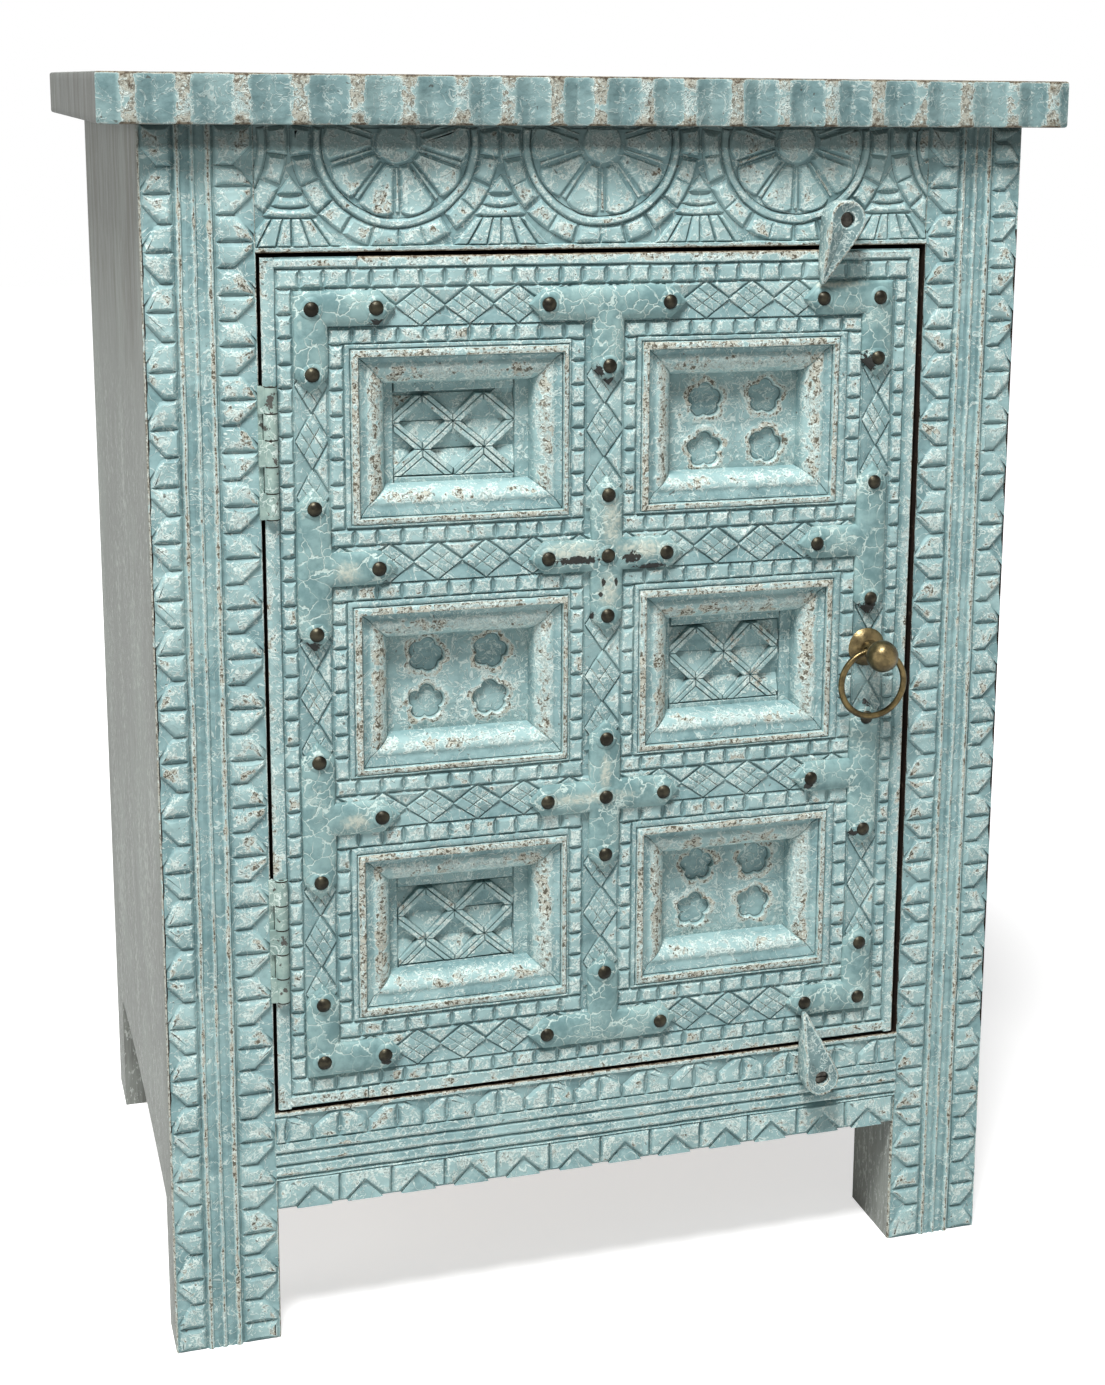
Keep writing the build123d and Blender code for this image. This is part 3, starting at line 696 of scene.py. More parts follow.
# Each band: its first cut from the top, the pitch of its cuts, and the short cut above the first
for node, outwards, reed_low, outer_cuts, inner_cuts in (
    ("stile_left", -1, -214.6, (603.9, 14.07, 616.2), (607.3, 12.95, 617.0)),
    ("stile_right", 1, 195.4, (617.4, 14.0, 629.0), (604.4, 12.45, 616.0)),
):
    low, high = node_box(node)
    section = [(low.x, 3.0, 1.8), (low.x + 0.7, 1.2, 1.7), (low.x + 1.5, ground, 0.2)]
    section += [(reed_low - 0.2, ground, 0.0)]
    section += [(reed_low + across, depth, wear) for across, depth, wear in reeds]
    section += [(reed_low + 18.6, ground, 0.0), (high.x - 1.5, ground, 0.2), (high.x - 0.7, 1.2, 1.7)]
    section += [(high.x, 3.0, 1.8)]
    board = Board(section, low.z, high.z, high.y, True)
    bands = ((reed_low - 0.4, low.x + 1.0), (reed_low + 18.8, high.x - 1.0))
    band_cuts = (outer_cuts, inner_cuts)[::-outwards]
    # The fields are rubbed bare towards the board's edges
    board.rubbed = lambda x, z: 0.8 * (abs(x - reed_low - 9.2) - 9.6) / 16 - 0.4
    for (band_inner, band_outer), (first, pitch, short_cut) in zip(bands, band_cuts):
        places = cut_places(first, pitch, low.z + 1, short_cut, high.z)
        fields, chips = chip_row(places, band_inner, band_outer)
        board.fields(stood(fields))
        board.chips(stood(chips))
    stile = board.done("carved_" + node, "carcass", "front_paint", [node])
    repaint(stile, side_paint, lambda spot, normal: normal.y > 0.9 or (spot.y > 3.2 and abs(normal.x) > 0.9))
    # Beside the door the wood is bare, and painted dark as painted shade in the gap
    repaint(stile, gap_wood_and_shade, lambda spot, normal: spot.y > 1.5 and -outwards * normal.x > 0.6
            and door_opening[0] < spot.z < door_opening[1])


# ------------------------------
# Frieze. Three half wheels stand on the rail over the door, each with a hub, five spokes, a rim and a
# ring of cut blocks. Between them are a small triangle, two curved bars and a fan.
small_field = ((0.9, 0.8, 0.3), (0.6, 0.2, 0.85), (0.7, 0.05, 1.05))
soft_field = ((0.8, 0.8, 0.3), (0.5, 0.2, 0.85), (0.5, 0.05, 1.05))
bar_field = ((0.35, 0.8, 0.5), (0.35, 0.4, 1.3))


def arc(centre, radius, start, end, steps):
    """Points round a centre, with angles in degrees from the right towards the top."""
    turns = [radians(start + (end - start) * i / steps) for i in range(steps + 1)]
    return [(centre[0] + radius * cos(a), centre[1] + radius * sin(a)) for a in turns]


low, high = node_box("frieze_rail")
# The rails show between the stiles, and their tenons are inside
joint_lap = 0.9
rail_start = node_box("stile_left")[1].x - joint_lap
rail_end = node_box("stile_right")[0].x + joint_lap
section = [(low.z, 1.2, 2.3), (low.z + 0.8, 0.3, 1.5), (low.z + 2.2, 0.2, 1.0), (low.z + 2.9, ground, 0)]
section += [(high.z, ground, 0)]
board = Board(section, rail_start, rail_end, high.y, False)
wheel_pitch, wheel_height, disc_depth = 104.5, 628.0, 1.25
hub_radius, disc_radius, rim_inner, rim_outer = 10.8, 36.9, 37.1, 41.3
ring_inner, ring_outer, block_turn, spoke_turn = 41.7, 52.0, 16.2, 36
rail = (rail_start, rail_end, low.z + 2.7, high.z)
for wheel_x in (-211.7, -107.2, -2.7, 102.0, 206.5):
    centre = (wheel_x, wheel_height)
    board.fields(framed([arc(centre, disc_radius, -190, 10, 40)], *rail), ((0.3, disc_depth, 0.1),))
    board.fields(framed([arc(centre, hub_radius, 0, 360, 24)[:-1]], *rail), soft_field, disc_depth)
    petals, bars = [], []
    for spoke in range(-198, 20, spoke_turn):
        gap_in, gap_out = degrees(asin(1.3 / 12)), degrees(asin(1.9 / 36))
        side = Vector((-sin(radians(spoke)), cos(radians(spoke))))
        along = Vector((cos(radians(spoke)), sin(radians(spoke))))
        ends = ((12.4, 0.7), (34.0, 1.1), (34.0, -1.1), (12.4, -0.7))
        bars.append([tuple(Vector(centre) + along * out + side * aside) for out, aside in ends])
        inner = arc(centre, 11.6, spoke + gap_in, spoke + spoke_turn - gap_in, 4)
        outer = []
        for i in range(13):
            share = i / 12
            angle = radians(spoke + spoke_turn - gap_out - share * (spoke_turn - 2 * gap_out))
            radius = 34.2 + 2.6 * sin(pi * share) ** 0.6
            outer.append((centre[0] + radius * cos(angle), centre[1] + radius * sin(angle)))
        petals.append(inner + outer)
    board.fields(framed(petals, *rail), soft_field, disc_depth)
    board.fields(framed(bars, *rail, 0.5), bar_field, disc_depth)
    rim = [arc(centre, rim_outer, -190, 10, 50) + arc(centre, rim_inner, 10, -190, 50)]
    board.fields(framed(rim, *rail), ((0.6, 0.6, 0.3), (0.6, 0.0, 1.0)))
    blocks = []
    for cut in range(12):
        start = -188.2 + cut * 16.4 + chance.uniform(-1.5, 1.5)
        end = start + block_turn
        blocks.append(arc(centre, ring_outer, start, end, 5) + arc(centre, ring_inner, end, start, 5))
    board.fields(framed(blocks, *rail))
reach = wheel_pitch / 2
fan_top, fan_focus = 591.4, 606.0
for middle in (-159.4, -55.0, 49.6, 154.3):
    triangle = [(middle, 612.5), (middle - 6.6, 603.2), (middle + 6.6, 603.2)]
    board.fields(framed([triangle], *rail), small_field)
    bars = []
    for lower, upper in ((597.8, 602.6), (592.6, 597.4)):
        bar = []
        for z, turns in ((lower, (-1, -0.5, 0, 0.5, 1)), (upper, (1, 0.5, 0, -0.5, -1))):
            span = reach - sqrt(52.4**2 - (wheel_height - z) ** 2)
            bar += [(middle + span * t, z - 1.3 * (1 - t * t)) for t in turns]
        bars.append(bar)
    board.fields(framed(bars, *rail), small_field)
    rays = []
    edges = [-140, -121, -104, -89, -72, -56, -41]
    for start, end in zip(edges, edges[1:]):
        near, far = [], []
        for i in range(5):
            angle = radians(start + (end - start) * i / 4)
            dx, dz = cos(angle), sin(angle)
            stop = (fan_focus - rail[2]) / -dz
            to_x, to_z = (reach if dx > 0 else -reach), wheel_height - fan_focus
            nearest = to_x * dx + to_z * dz
            off = to_x**2 + to_z**2 - nearest**2
            if off < 52.6**2 and nearest > 0:
                stop = min(stop, nearest - sqrt(52.6**2 - off))
            begin = (fan_focus - fan_top) / -dz
            if stop > begin + 0.3:
                far.append((middle + dx * stop, fan_focus + dz * stop))
                near.append((middle + dx * begin, fan_focus + dz * begin))
        if len(near) > 1:
            rays.append(near + far[::-1])
    board.fields(framed(rays, *rail), ((0.6, 0.7, 0.3), (0.5, 0.2, 0.9)))
frieze = board.done("carved_frieze", "carcass", "front_paint", ["frieze_rail"])
# Its underside over the door takes the gap's painted shade
repaint(frieze, gap_wood_and_shade, lambda spot, normal: spot.y > 1.5 and normal.z < -0.6)


# ------------------------------
# Apron. The rail under the door has a chipped band above, three wavy reeds and a row of chevrons.
low, high = node_box("apron_rail")
section = [(low.z, ground, 0.6), (90.6, ground, 0)]
for valley in (92.0, 98.5, 105.3):
    section += [(valley - 1.2, 0.4, 0.6), (valley, 2.0, -0.3), (valley + 0.9, 0.6, 0.9)]
    section += [(valley + 2.0, 0.0, 1.3), (valley + 3.6, 0.2, 0.5)]
section += [(111.0, 0.4, 0.6), (111.6, ground, 0), (126.2, ground, 0), (126.8, 0.3, 1)]
section += [(high.z - 0.8, 0.2, 1.5), (high.z, 1.2, 2.3)]
board = Board(section, rail_start, rail_end, high.y, False)
apron_cuts = (-157, -143, -128, -112, -98, -85, -70, -57, -42, -28, -14, 0)
apron_cuts += (13, 27, 41, 55, 69, 83, 97, 111, 125, 139, 153, 165)
cuts = [(rail_start, False), (-171.0, False)] + [(x, i % 2 == 0) for i, x in enumerate(apron_cuts)]
cuts += [(rail_end, False)]
fields, chips = chip_row(cuts, 111.4, 126.4)
board.fields(fields)
board.chips(chips)
peaks = [-195, -157, -130, -101, -72, -43, -13, 15, 44, 74, 101, 133, 160, 192]
houses, facets = [], []
for before, peak, after in zip(peaks, peaks[1:], peaks[2:]):
    left, right_side = max(rail_start, (before + peak) / 2), min(rail_end, (peak + after) / 2)
    left_foot, right_foot = max(left + 2.5, peak - 10), min(right_side - 2.5, peak + 10)
    houses.append([(left, 91.0), (left, 74.8), (left_foot, 74.8), (peak, 84.4), (right_foot, 74.8),
                   (right_side, 74.8), (right_side, 91.0)])
    facets.append([(left_foot + 0.6, 73.6, 0.3), (peak, 83.6, 2.0), (right_foot - 0.6, 73.6, 0.3)])
board.fields(houses, soft_field)
board.chips(facets, 0.25)
apron = board.done("carved_apron", "carcass", "front_paint", ["apron_rail"])
# Its top under the door takes the gap's painted shade
repaint(apron, gap_wood_and_shade, lambda spot, normal: spot.y > 1.5 and normal.z > 0.6 and spot.z > 110)


# ------------------------------
# Door. Two stiles, four rails and three short muntins frame six coffers. They are carved as one face:
# a lip, a flat strip and a row of blocks round every coffer, a row of blocks round the whole door, and
# chains of hatched diamonds in the paths between, which the straps partly cover.
def block_row(start, end, low, high):
    """Small blocks side by side along x, with cuts that gape in their middles."""
    count = max(1, round((end - start) / 12.1))
    edges = [start + (end - start) * i / count for i in range(count + 1)]
    edges = edges[:1] + [e + chance.uniform(-0.8, 0.8) for e in edges[1:-1]] + edges[-1:]
    lower, upper = low + 0.3 * (high - low), low + 0.7 * (high - low)
    blocks = []
    for begin, stop in zip(edges, edges[1:]):
        block = [(begin - 0.3, low), (begin + 0.5, lower), (begin + 0.5, upper), (begin - 0.3, high)]
        block += [(stop + 0.3, high), (stop - 0.5, upper), (stop - 0.5, lower), (stop + 0.3, low)]
        blocks.append(block)
    return blocks


def diamond_row(start, end, low, high, centre, pitch):
    """Hatched diamonds in a chain along x, the triangles over their joints and the facets under them."""
    middle, half, rise = (low + high) / 2, pitch / 2, (high - low) / 2
    whole, cells, triangles, facets = [], [], [], []
    first = int((start - centre) // pitch) - 1
    for step in range(first, first + int((end - start) // pitch) + 5):
        at = centre + step * pitch
        whole.append([(at - half, middle), (at, middle - rise), (at + half, middle), (at, middle + rise)])
        for i in range(3):
            for j in range(2):
                grid = [((i + a) / 3, (j + b) / 2) for a, b in ((0, 0), (1, 0), (1, 1), (0, 1))]
                cells.append([(at - half + half * (s + t), middle + rise * (s - t)) for s, t in grid])
        joint = at + half
        end_high, end_low = joint + half - 1.2, joint - half + 1.2
        triangles.append([(joint, middle + 0.8), (end_high, high), (end_low, high)])
        facets.append([(joint, middle - 0.8, 1.9), (end_high, low, 0.6), (end_low, low, 0.6)])
    limits = (start, end, low, high)
    return [framed(outlines, *limits) for outlines in (whole, cells, triangles, facets)]


def rectangle(left, bottom, right_side, top):
    return [(left, bottom), (right_side, bottom), (right_side, top), (left, top)]


hinge_low, hinge_high = node_box("door_stile_hinge")
lock_low, lock_high = node_box("door_stile_lock")
columns = {"left": (-127.2, -21.94), "right": (24.06, 126.0)}
rows = {}
for row in ("upper", "middle", "lower"):
    moulding_low, moulding_high = node_box("door_moulding_" + row + "_left")
    rows[row] = (moulding_low.z, moulding_high.z)

# Fields: outlines, the levels of their edges and the ground they stand on
diamond_field = ((0.5, 1.3, 0.2), (0.4, 1.1, 1.5))
hatch_field = ((0.3, 0.65, 0.9), (0.35, 0.5, 0.6))
triangle_field = ((0.6, 1.0, 0.3), (0.8, 0.6, 1.0))
edge_field = ((0.4, 0.6, 0.6), (0.5, 0.1, 1.5))
door_fields, door_chips = [], []
# Block rows round the whole door
for band_low, band_high in ((138.0, 146.6), (557.8, 567.2)):
    door_fields.append((block_row(-167.6, 167.4, band_low, band_high), small_field, ground))
for band_low, band_high in ((-167.6, -159.6), (160.2, 167.2)):
    door_fields.append((stood(block_row(147, 557.4, band_low, band_high)), small_field, ground))
for foot, head in ((hinge_low.z + 0.6, 137.4), (567.8, hinge_high.z - 0.6)):
    for side_low, side_high in ((hinge_low.x + 0.6, hinge_high.x), (lock_low.x, lock_high.x - 0.6)):
        door_fields.append(([rectangle(side_low, foot, side_high, head)], edge_field, ground))
# Round each coffer: a block row, and inside it a flat strip and a worn lip, rings of their own
block_heights = {
    "upper": ((428.6, 437.2), (530.0, 538.4)),
    "middle": ((298.4, 306.8), (400.2, 408.8)),
    "lower": ((166.2, 174.6), (270.0, 279.6)),
}
lip_rings = {}
for column, (left, right_side) in columns.items():
    outer_left, outer_right = (-142.6, -10.4) if column == "left" else (9.8, 142.4)
    strip_left, strip_right = (7.4, 3.6) if column == "left" else (7.0, 7.8)
    for row, (bottom, top) in rows.items():
        blocks_below, blocks_above = block_heights[row]
        block_left = (outer_left, left - strip_left)
        block_right = (right_side + strip_right, outer_right)
        ring = block_row(outer_left, outer_right, *blocks_below)
        ring += block_row(outer_left, outer_right, *blocks_above)
        ring += stood(block_row(blocks_below[1], blocks_above[0], *block_left))
        ring += stood(block_row(blocks_below[1], blocks_above[0], *block_right))
        door_fields.append((ring, small_field, ground))
        outer = ((block_left[1], blocks_below[1] + 0.6), (block_right[0], blocks_above[0] - 0.2))
        lip_rings[row, column] = ((left, bottom), (right_side, top)), outer
# Diamond chains: level ones, then upright ones
level_pitch, upright_pitch, chain_end, diamond_depth = 25, 28, 143, 1.5
level_chains = ((538.8, 557.4, 54.0), (409.2, 428.2, 62.0), (280.0, 298.0, 57.0), (147.0, 165.8, 49.0))
chains = []
for low_side, high_side, centre in level_chains:
    chains.append(diamond_row(-chain_end, chain_end, low_side, high_side, centre, level_pitch))
for low_side, high_side in ((-159.2, -143.0), (-10.0, 9.4), (143.0, 159.6)):
    for start, end in ((180, 262), (312, 392), (442, 523)):
        chain = diamond_row(start, end, low_side, high_side, (start + end) / 2, upright_pitch)
        chains.append([stood(outlines) for outlines in chain])
for whole, cells, triangles, facets in chains:
    door_fields += [(whole, diamond_field, ground), (cells, hatch_field, diamond_depth)]
    door_fields.append((triangles, triangle_field, ground))
    door_chips += facets

# Each member takes the fields that have their middles on it
members = {
    "door_stile_hinge": [(hinge_low.x, 1.4, 1.3), (hinge_low.x + 0.9, 0.2, 1.1), (-168.4, 0.1, 0.5),
                         (-167.6, ground, 0), (hinge_high.x, ground, 0)],
    "door_stile_lock": [(lock_low.x, ground, 0), (167.6, ground, 0), (168.4, 0.1, 0.6),
                        (lock_high.x - 0.9, 0.2, 1.3), (lock_high.x, 1.4, 2.2)],
}
for node in ("door_rail_top", "door_rail_upper", "door_rail_lower", "door_rail_bottom"):
    low, high = node_box(node)
    section = [(low.z, ground, 0.2), (high.z, ground, 0.2)]
    if node == "door_rail_top":
        edge = [(567.4, ground, 0), (568.1, 0.1, 0.9), (high.z - 0.8, 0.2, 1.6), (high.z, 1.4, 2.4)]
        section = section[:1] + edge
    if node == "door_rail_bottom":
        edge = [(low.z, 1.4, 2.4), (low.z + 0.8, 0.2, 1.4), (137.0, 0.1, 0.8), (137.8, ground, 0)]
        section = edge + section[1:]
    members[node] = section
for node in ("door_muntin_top", "door_muntin_middle", "door_muntin_bottom"):
    low, high = node_box(node)
    members[node] = [(low.x, ground, 0.2), (high.x, ground, 0.2)]
boards = {}
tenon_length = 18.0
for node, section in members.items():
    low, high = node_box(node)
    upright = "rail" not in node
    # Rails and muntins are built without their tenons
    start, end = (low.z, high.z) if upright else (hinge_high.x, lock_low.x)
    if "muntin" in node:
        start, end = low.z + tenon_length, high.z - tenon_length
    boards[node] = Board(section, start, end, high.y, upright)


def owner_of(outline):
    """The door member under the middle of an outline."""
    x = sum(point[0] for point in outline) / len(outline)
    z = sum(point[1] for point in outline) / len(outline)
    if x < hinge_high.x:
        return "door_stile_hinge"
    if x > lock_low.x:
        return "door_stile_lock"
    for name in members:
        low, high = node_box(name)
        if low.x <= x <= high.x and low.z <= z <= high.z:
            return name
    return None


for outlines, levels, base in door_fields:
    shares = {}
    for outline in outlines:
        shares.setdefault(owner_of(outline), []).append(outline)
    for node, own in shares.items():
        if node:
            boards[node].fields(own, levels, base, 0.16 if levels is small_field else 0.08)
for node, board in boards.items():
    board.chips([facet for facet in door_chips if owner_of(facet) == node], 0.2)
    member = board.done("carved_" + node, "door", "front_paint", [node], sway=0.35)
    low, high = node_box(node)
    # The door's outer edges take the gap's painted shade
    repaint(member, gap_wood_and_shade, lambda spot, normal: spot.y > 1.6 and (
        spot.x < hinge_low.x + 0.5 or spot.x > lock_high.x - 0.5
        or spot.z < hinge_low.z + 0.5 or spot.z > hinge_high.z - 0.5))

# The lips and the strips outside them: share of the way over each, depth and wear
lip_profile = [(0.0, 4.4, -0.5), (0.03, 1.0, 0.9), (0.14, 0.0, 1.75), (0.5, -0.15, 1.5), (0.8, 0.1, 1.7)]
lip_profile += [(0.94, 0.8, 0.7), (1.0, 1.7, -0.4), (1.12, 0.6, 0.5), (1.3, 0.2, 0.6), (1.75, 0.25, 0.5)]
lip_profile += [(1.92, 0.7, 0.5), (2.0, 2.6, -0.4)]
lip_steps = 22
lip_widths = (4.4, 3.4, 6.2, 4.6)


def skin(bm, loops, closed=True):
    """Faces between each loop of vertices and the next."""
    for ring, next_ring in pairs(loops) if closed else zip(loops, loops[1:]):
        for i in range(len(ring)):
            j = (i + 1) % len(ring)
            bm.faces.new((ring[i], ring[j], next_ring[j], next_ring[i]))


bm, wear_and_shade = new_shape()
for (low, high), (far_low, far_high) in lip_rings.values():
    loops = []
    for share, depth, wear in lip_profile:
        sides = []
        spans = ((low[0], far_low[0]), (high[0], far_high[0]), (low[1], far_low[1]), (high[1], far_high[1]))
        for (near, far), lip_width in zip(spans, lip_widths):
            lip_width = min(lip_width, 0.78 * abs(far - near))
            reach = lip_width * min(share, 1) + (abs(far - near) - lip_width) * max(share - 1, 0)
            sides.append(near + (reach if far > near else -reach))
        left, right_side, bottom, top = sides
        loop = []
        for here, there in pairs(rectangle(left, bottom, right_side, top)):
            for i in range(lip_steps):
                x, z = (a + (b - a) * i / lip_steps for a, b in zip(here, there))
                pull = noise.noise_vector(Vector((x, 0, z)) / 6) * (0.35 if 0 < share < 2 else 0.1)
                dip = 0.5 * max(0.0, noise.noise(Vector((x, 9, z)) / 7)) if 0 < share < 0.9 else 0.0
                loop.append(add_corner(bm, wear_and_shade, x + pull.x, depth + dip, z + pull.z, wear))
        loops.append(loop)
    skin(bm, loops)
shaped(bm, "coffer_lips", front_paint, "door", (), 40)


# ------------------------------
# Coffer mouldings. A plain slope falls from the frame, then a worn roll drops to the panel. The four
# sides are mitred.
# Steps inwards from the coffer's edge: width so far, depth and wear
moulding_profile = [(0.0, 16.2, 0), (0.0, 4.2, -0.5), (0.5, 2.9, 0.3), (1.4, 3.0, 0.35), (3.6, 3.8, 0.2)]
moulding_profile += [(5.0, 4.1, 0.3), (5.9, 3.8, 0.9), (7.4, 3.6, 1.2), (9.4, 4.4, 1.3), (11.4, 6.0, 1.2)]
moulding_profile += [(13.2, 8.4, 0.9), (14.3, 11.5, 0.3), (14.9, 16.2, 0)]
moulding_steps = 14
slope_width, full_width = 5.0, moulding_profile[-1][0]
for row in rows:
    for column in columns:
        node = "door_moulding_" + row + "_" + column
        low, high = node_box(node)
        bm, wear_and_shade = new_shape()
        loops = []
        for inward, depth, wear in moulding_profile:
            # The slope is broad below, narrower at the sides and narrowest above
            slope, roll = min(inward, slope_width), max(0.0, inward - slope_width)
            below, beside, above = (
                share * slope + roll * (full_width - share * slope_width) / (full_width - slope_width)
                for share in (1.1, 0.78, 0.62)
            )
            corners = rectangle(low.x + beside, low.z + below, high.x - beside, high.z - above)
            loop = []
            # Hands and cloths have rubbed the sides most
            for (here, there), rubbing in zip(pairs(corners), (0.95, 1.25, 1.15, 1.3)):
                sliver = 0.5 / (abs(there[0] - here[0]) + abs(there[1] - here[1]))
                between = [i / moulding_steps for i in range(1, moulding_steps)]
                for share in [0.0, sliver] + between + [1 - sliver]:
                    x, z = (a + (b - a) * share for a, b in zip(here, there))
                    mitre = 1.0 if share == 0 else 0.0
                    dent = 0.35 * noise.noise(Vector((x, inward, z)) / 8) if 0.3 < inward < 14.8 else 0.0
                    groove = 0.5 * mitre if 0.3 < inward < 14 else 0
                    rubbed = wear * rubbing - 0.9 * mitre
                    loop.append(add_corner(bm, wear_and_shade, x, depth + dent + groove, z, rubbed))
            loops.append(loop)
        skin(bm, loops)
        shaped(bm, "moulding_" + row + "_" + column, front_paint, "door", [node], 40)


# ------------------------------
# Coffer panels. Three are carved with a lattice of straps round sunk diamonds, the others with four
# sunk, rounded five-sided flowers. The two kinds alternate like a chessboard.
# Middle crossing, and half the width and height of a diamond
lattices = {
    "upper_left": (-76.2, 487.5, 16.0, 13.9),
    "middle_right": (73.0, 356.5, 15.7, 14.6),
    "lower_left": (-76.7, 224.0, 16.0, 14.4),
}
flowers = {
    "upper_right": ((59.8, 493.6), (93.3, 494.6), (59.8, 467.2), (94.3, 468.2)),
    "middle_left": ((-91.5, 365.6), (-57.0, 365.6), (-91.5, 340.3), (-57.0, 340.3)),
    "lower_right": ((59.8, 235.7), (93.3, 235.7), (57.8, 210.3), (93.3, 210.3)),
}
panel_front, panel_ground, valley_depth = 16.0, 20.6, 19.7
strap_share = 0.74
for where, (middle_x, middle_z, half, rise) in lattices.items():
    low, high = node_box("door_panel_" + where)
    x_low, x_high, z_low, z_high = middle_x - 31, middle_x + 32, middle_z - 27.5, middle_z + 16
    section = [(low.x, panel_ground, -0.2), (high.x, panel_ground, -0.2)]
    board = Board(section, low.z, high.z, high.y, True, 30)
    inner_half, inner_rise = half * strap_share, rise * strap_share
    straps, facets, flats = [], [], []
    for i in range(-3, 4):
        for j in range(-3, 4):
            if (i + j) % 2 == 0:
                continue
            x, z = middle_x + i * half, middle_z + j * rise
            for side in (-1, 1):
                for lift in (-1, 1):
                    straps.append([(x, z + lift * rise), (x + side * half, z),
                                   (x + side * inner_half, z), (x, z + lift * inner_rise)])
            if abs(j) == 2:
                flats.append([(x - inner_half, z), (x, z - inner_rise),
                              (x + inner_half, z), (x, z + inner_rise)])
                continue
            for lift in (-1, 1):
                valley = z + chance.uniform(-0.6, 0.6)
                facets.append([(x - inner_half, valley, valley_depth), (x + inner_half, valley, valley_depth),
                               (x, z + lift * inner_rise, panel_front + 0.4)])
    limits = (x_low, x_high, z_low, z_high)
    strap_levels = ((0.2, panel_front + 0.4, 0.5), (0.3, panel_front, 1.05))
    board.fields(framed(straps, *limits, 0.6), strap_levels, panel_ground, 0.1)
    flat_levels = ((0.3, panel_front + 0.4, 0.4), (0.4, panel_front + 0.1, 0.8))
    board.fields(framed(flats, *limits), flat_levels, panel_ground, 0.1)
    # Facets facing up are given more wear than those facing down, which paints them paler: a painted
    # highlight
    board.chips(framed([facet for facet in facets if facet[2][1] > facet[0][1]], *limits), 0.3)
    board.chips(framed([facet for facet in facets if facet[2][1] < facet[0][1]], *limits), 0.95)
    margins = [rectangle(low.x, low.z, x_low, high.z), rectangle(x_high, low.z, high.x, high.z)]
    margins += [rectangle(x_low, low.z, x_high, z_low), rectangle(x_low, z_high, x_high, high.z)]
    board.fields(margins, ((0.3, panel_front + 0.3, 0.3), (0.4, panel_front, 0.6)), panel_ground, 0.05)
    board.done("panel_" + where, "door", "front_paint", ["door_panel_" + where], sway=0.7)


def way_out(pace, low, high):
    """How far a ray runs until it passes low or high, which are taken from its start."""
    if abs(pace) <= 1e-9:
        return 1e9
    return (high if pace > 0 else low) / pace


for where, centres in flowers.items():
    low, high = node_box("door_panel_" + where)
    across = sum(x for x, z in centres) / 4
    level = sum(z for x, z in centres) / 4
    bm, wear_and_shade = new_shape()
    for x, z in centres:
        left, right_side = (low.x, across) if x < across else (across, high.x)
        bottom, top = (low.z, level) if z < level else (level, high.z)
        corner_turns = [atan2(cz - z, cx - x) % (2 * pi) for cx in (left, right_side) for cz in (bottom, top)]
        turns = sorted([2 * pi * i / 50 for i in range(50)] + corner_turns)
        lean = chance.uniform(-0.25, 0.25)
        loops = []
        for share, depth, wear in (
            (None, 0.1, 0.5), (1.34, 0.0, 0.9), (1.18, -0.5, 1.6), (1.03, -0.5, 1.65), (0.96, 0.2, 1.3),
            (0.91, 2.1, -0.4), (0.6, 2.3, 0.5)
        ):
            loop = []
            for turn_at in turns:
                if share is None:
                    reach = min(way_out(cos(turn_at), left - x, right_side - x),
                                way_out(sin(turn_at), bottom - z, top - z))
                else:
                    lobe = abs(cos(2.5 * (turn_at - pi / 2 + lean))) ** 0.6
                    rim_spot = Vector((x + 5 * cos(turn_at), 3.0, z + 5 * sin(turn_at)))
                    wobble = 0.7 * noise.noise(rim_spot / 2.5)
                    reach = share * (7.5 + 2.7 * lobe + wobble)
                rim_x, rim_z = x + reach * cos(turn_at), z + reach * sin(turn_at)
                loop.append(add_corner(bm, wear_and_shade, rim_x, panel_front + depth, rim_z, wear))
            loops.append(loop)
        skin(bm, loops, False)
        bm.faces.new(loops[-1])
    bmesh.ops.remove_doubles(bm, verts=bm.verts[:], dist=0.001)
    grown = bmesh.ops.extrude_edge_only(bm, edges=[e for e in bm.edges if e.is_boundary])
    for vert in grown["geom"]:
        if isinstance(vert, bmesh.types.BMVert):
            vert.co.y = high.y
            vert[wear_and_shade] = 0.0
    bmesh.ops.contextual_create(bm, geom=[e for e in bm.edges if e.is_boundary])
    shaped(bm, "panel_" + where, front_paint, "door", ["door_panel_" + where], 40)


# ------------------------------
# Straps. Domed covers over the door's joints, thickly painted, with the paint crazed in cream lines.
strap_paint, mix, place = start_finish("strap_paint")
drift = mix.node("ShaderNodeTexNoise", None, {"Vector": place, "Scale": 130.0, "Detail": 3.0}, "Color")
bent = mix.node("ShaderNodeVectorMath", {"operation": "SCALE"}, {0: drift, "Scale": 0.011})
bent = mix.node("ShaderNodeVectorMath", {"operation": "ADD"}, {0: place, 1: bent})
to_edge = {"feature": "DISTANCE_TO_EDGE"}
cells = mix.node("ShaderNodeTexVoronoi", to_edge, {"Vector": bent, "Scale": 120.0}, "Distance")
small_cells = mix.node("ShaderNodeTexVoronoi", to_edge, {"Vector": bent, "Scale": 260.0}, "Distance")
patches = grain(mix, place, 55, 3)
tone = grain(mix, place, 90, 5, 0.65)
specks = grain(mix, place, 480, 3)
craze = cells.rise(0.05, 0.015) * patches.rise(0.34, 0.48)
craze = craze.most(small_cells.rise(0.05, 0.015) * patches.rise(0.53, 0.6) * 0.75)
ragged = grain(mix, place, 420, 4, 0.7)
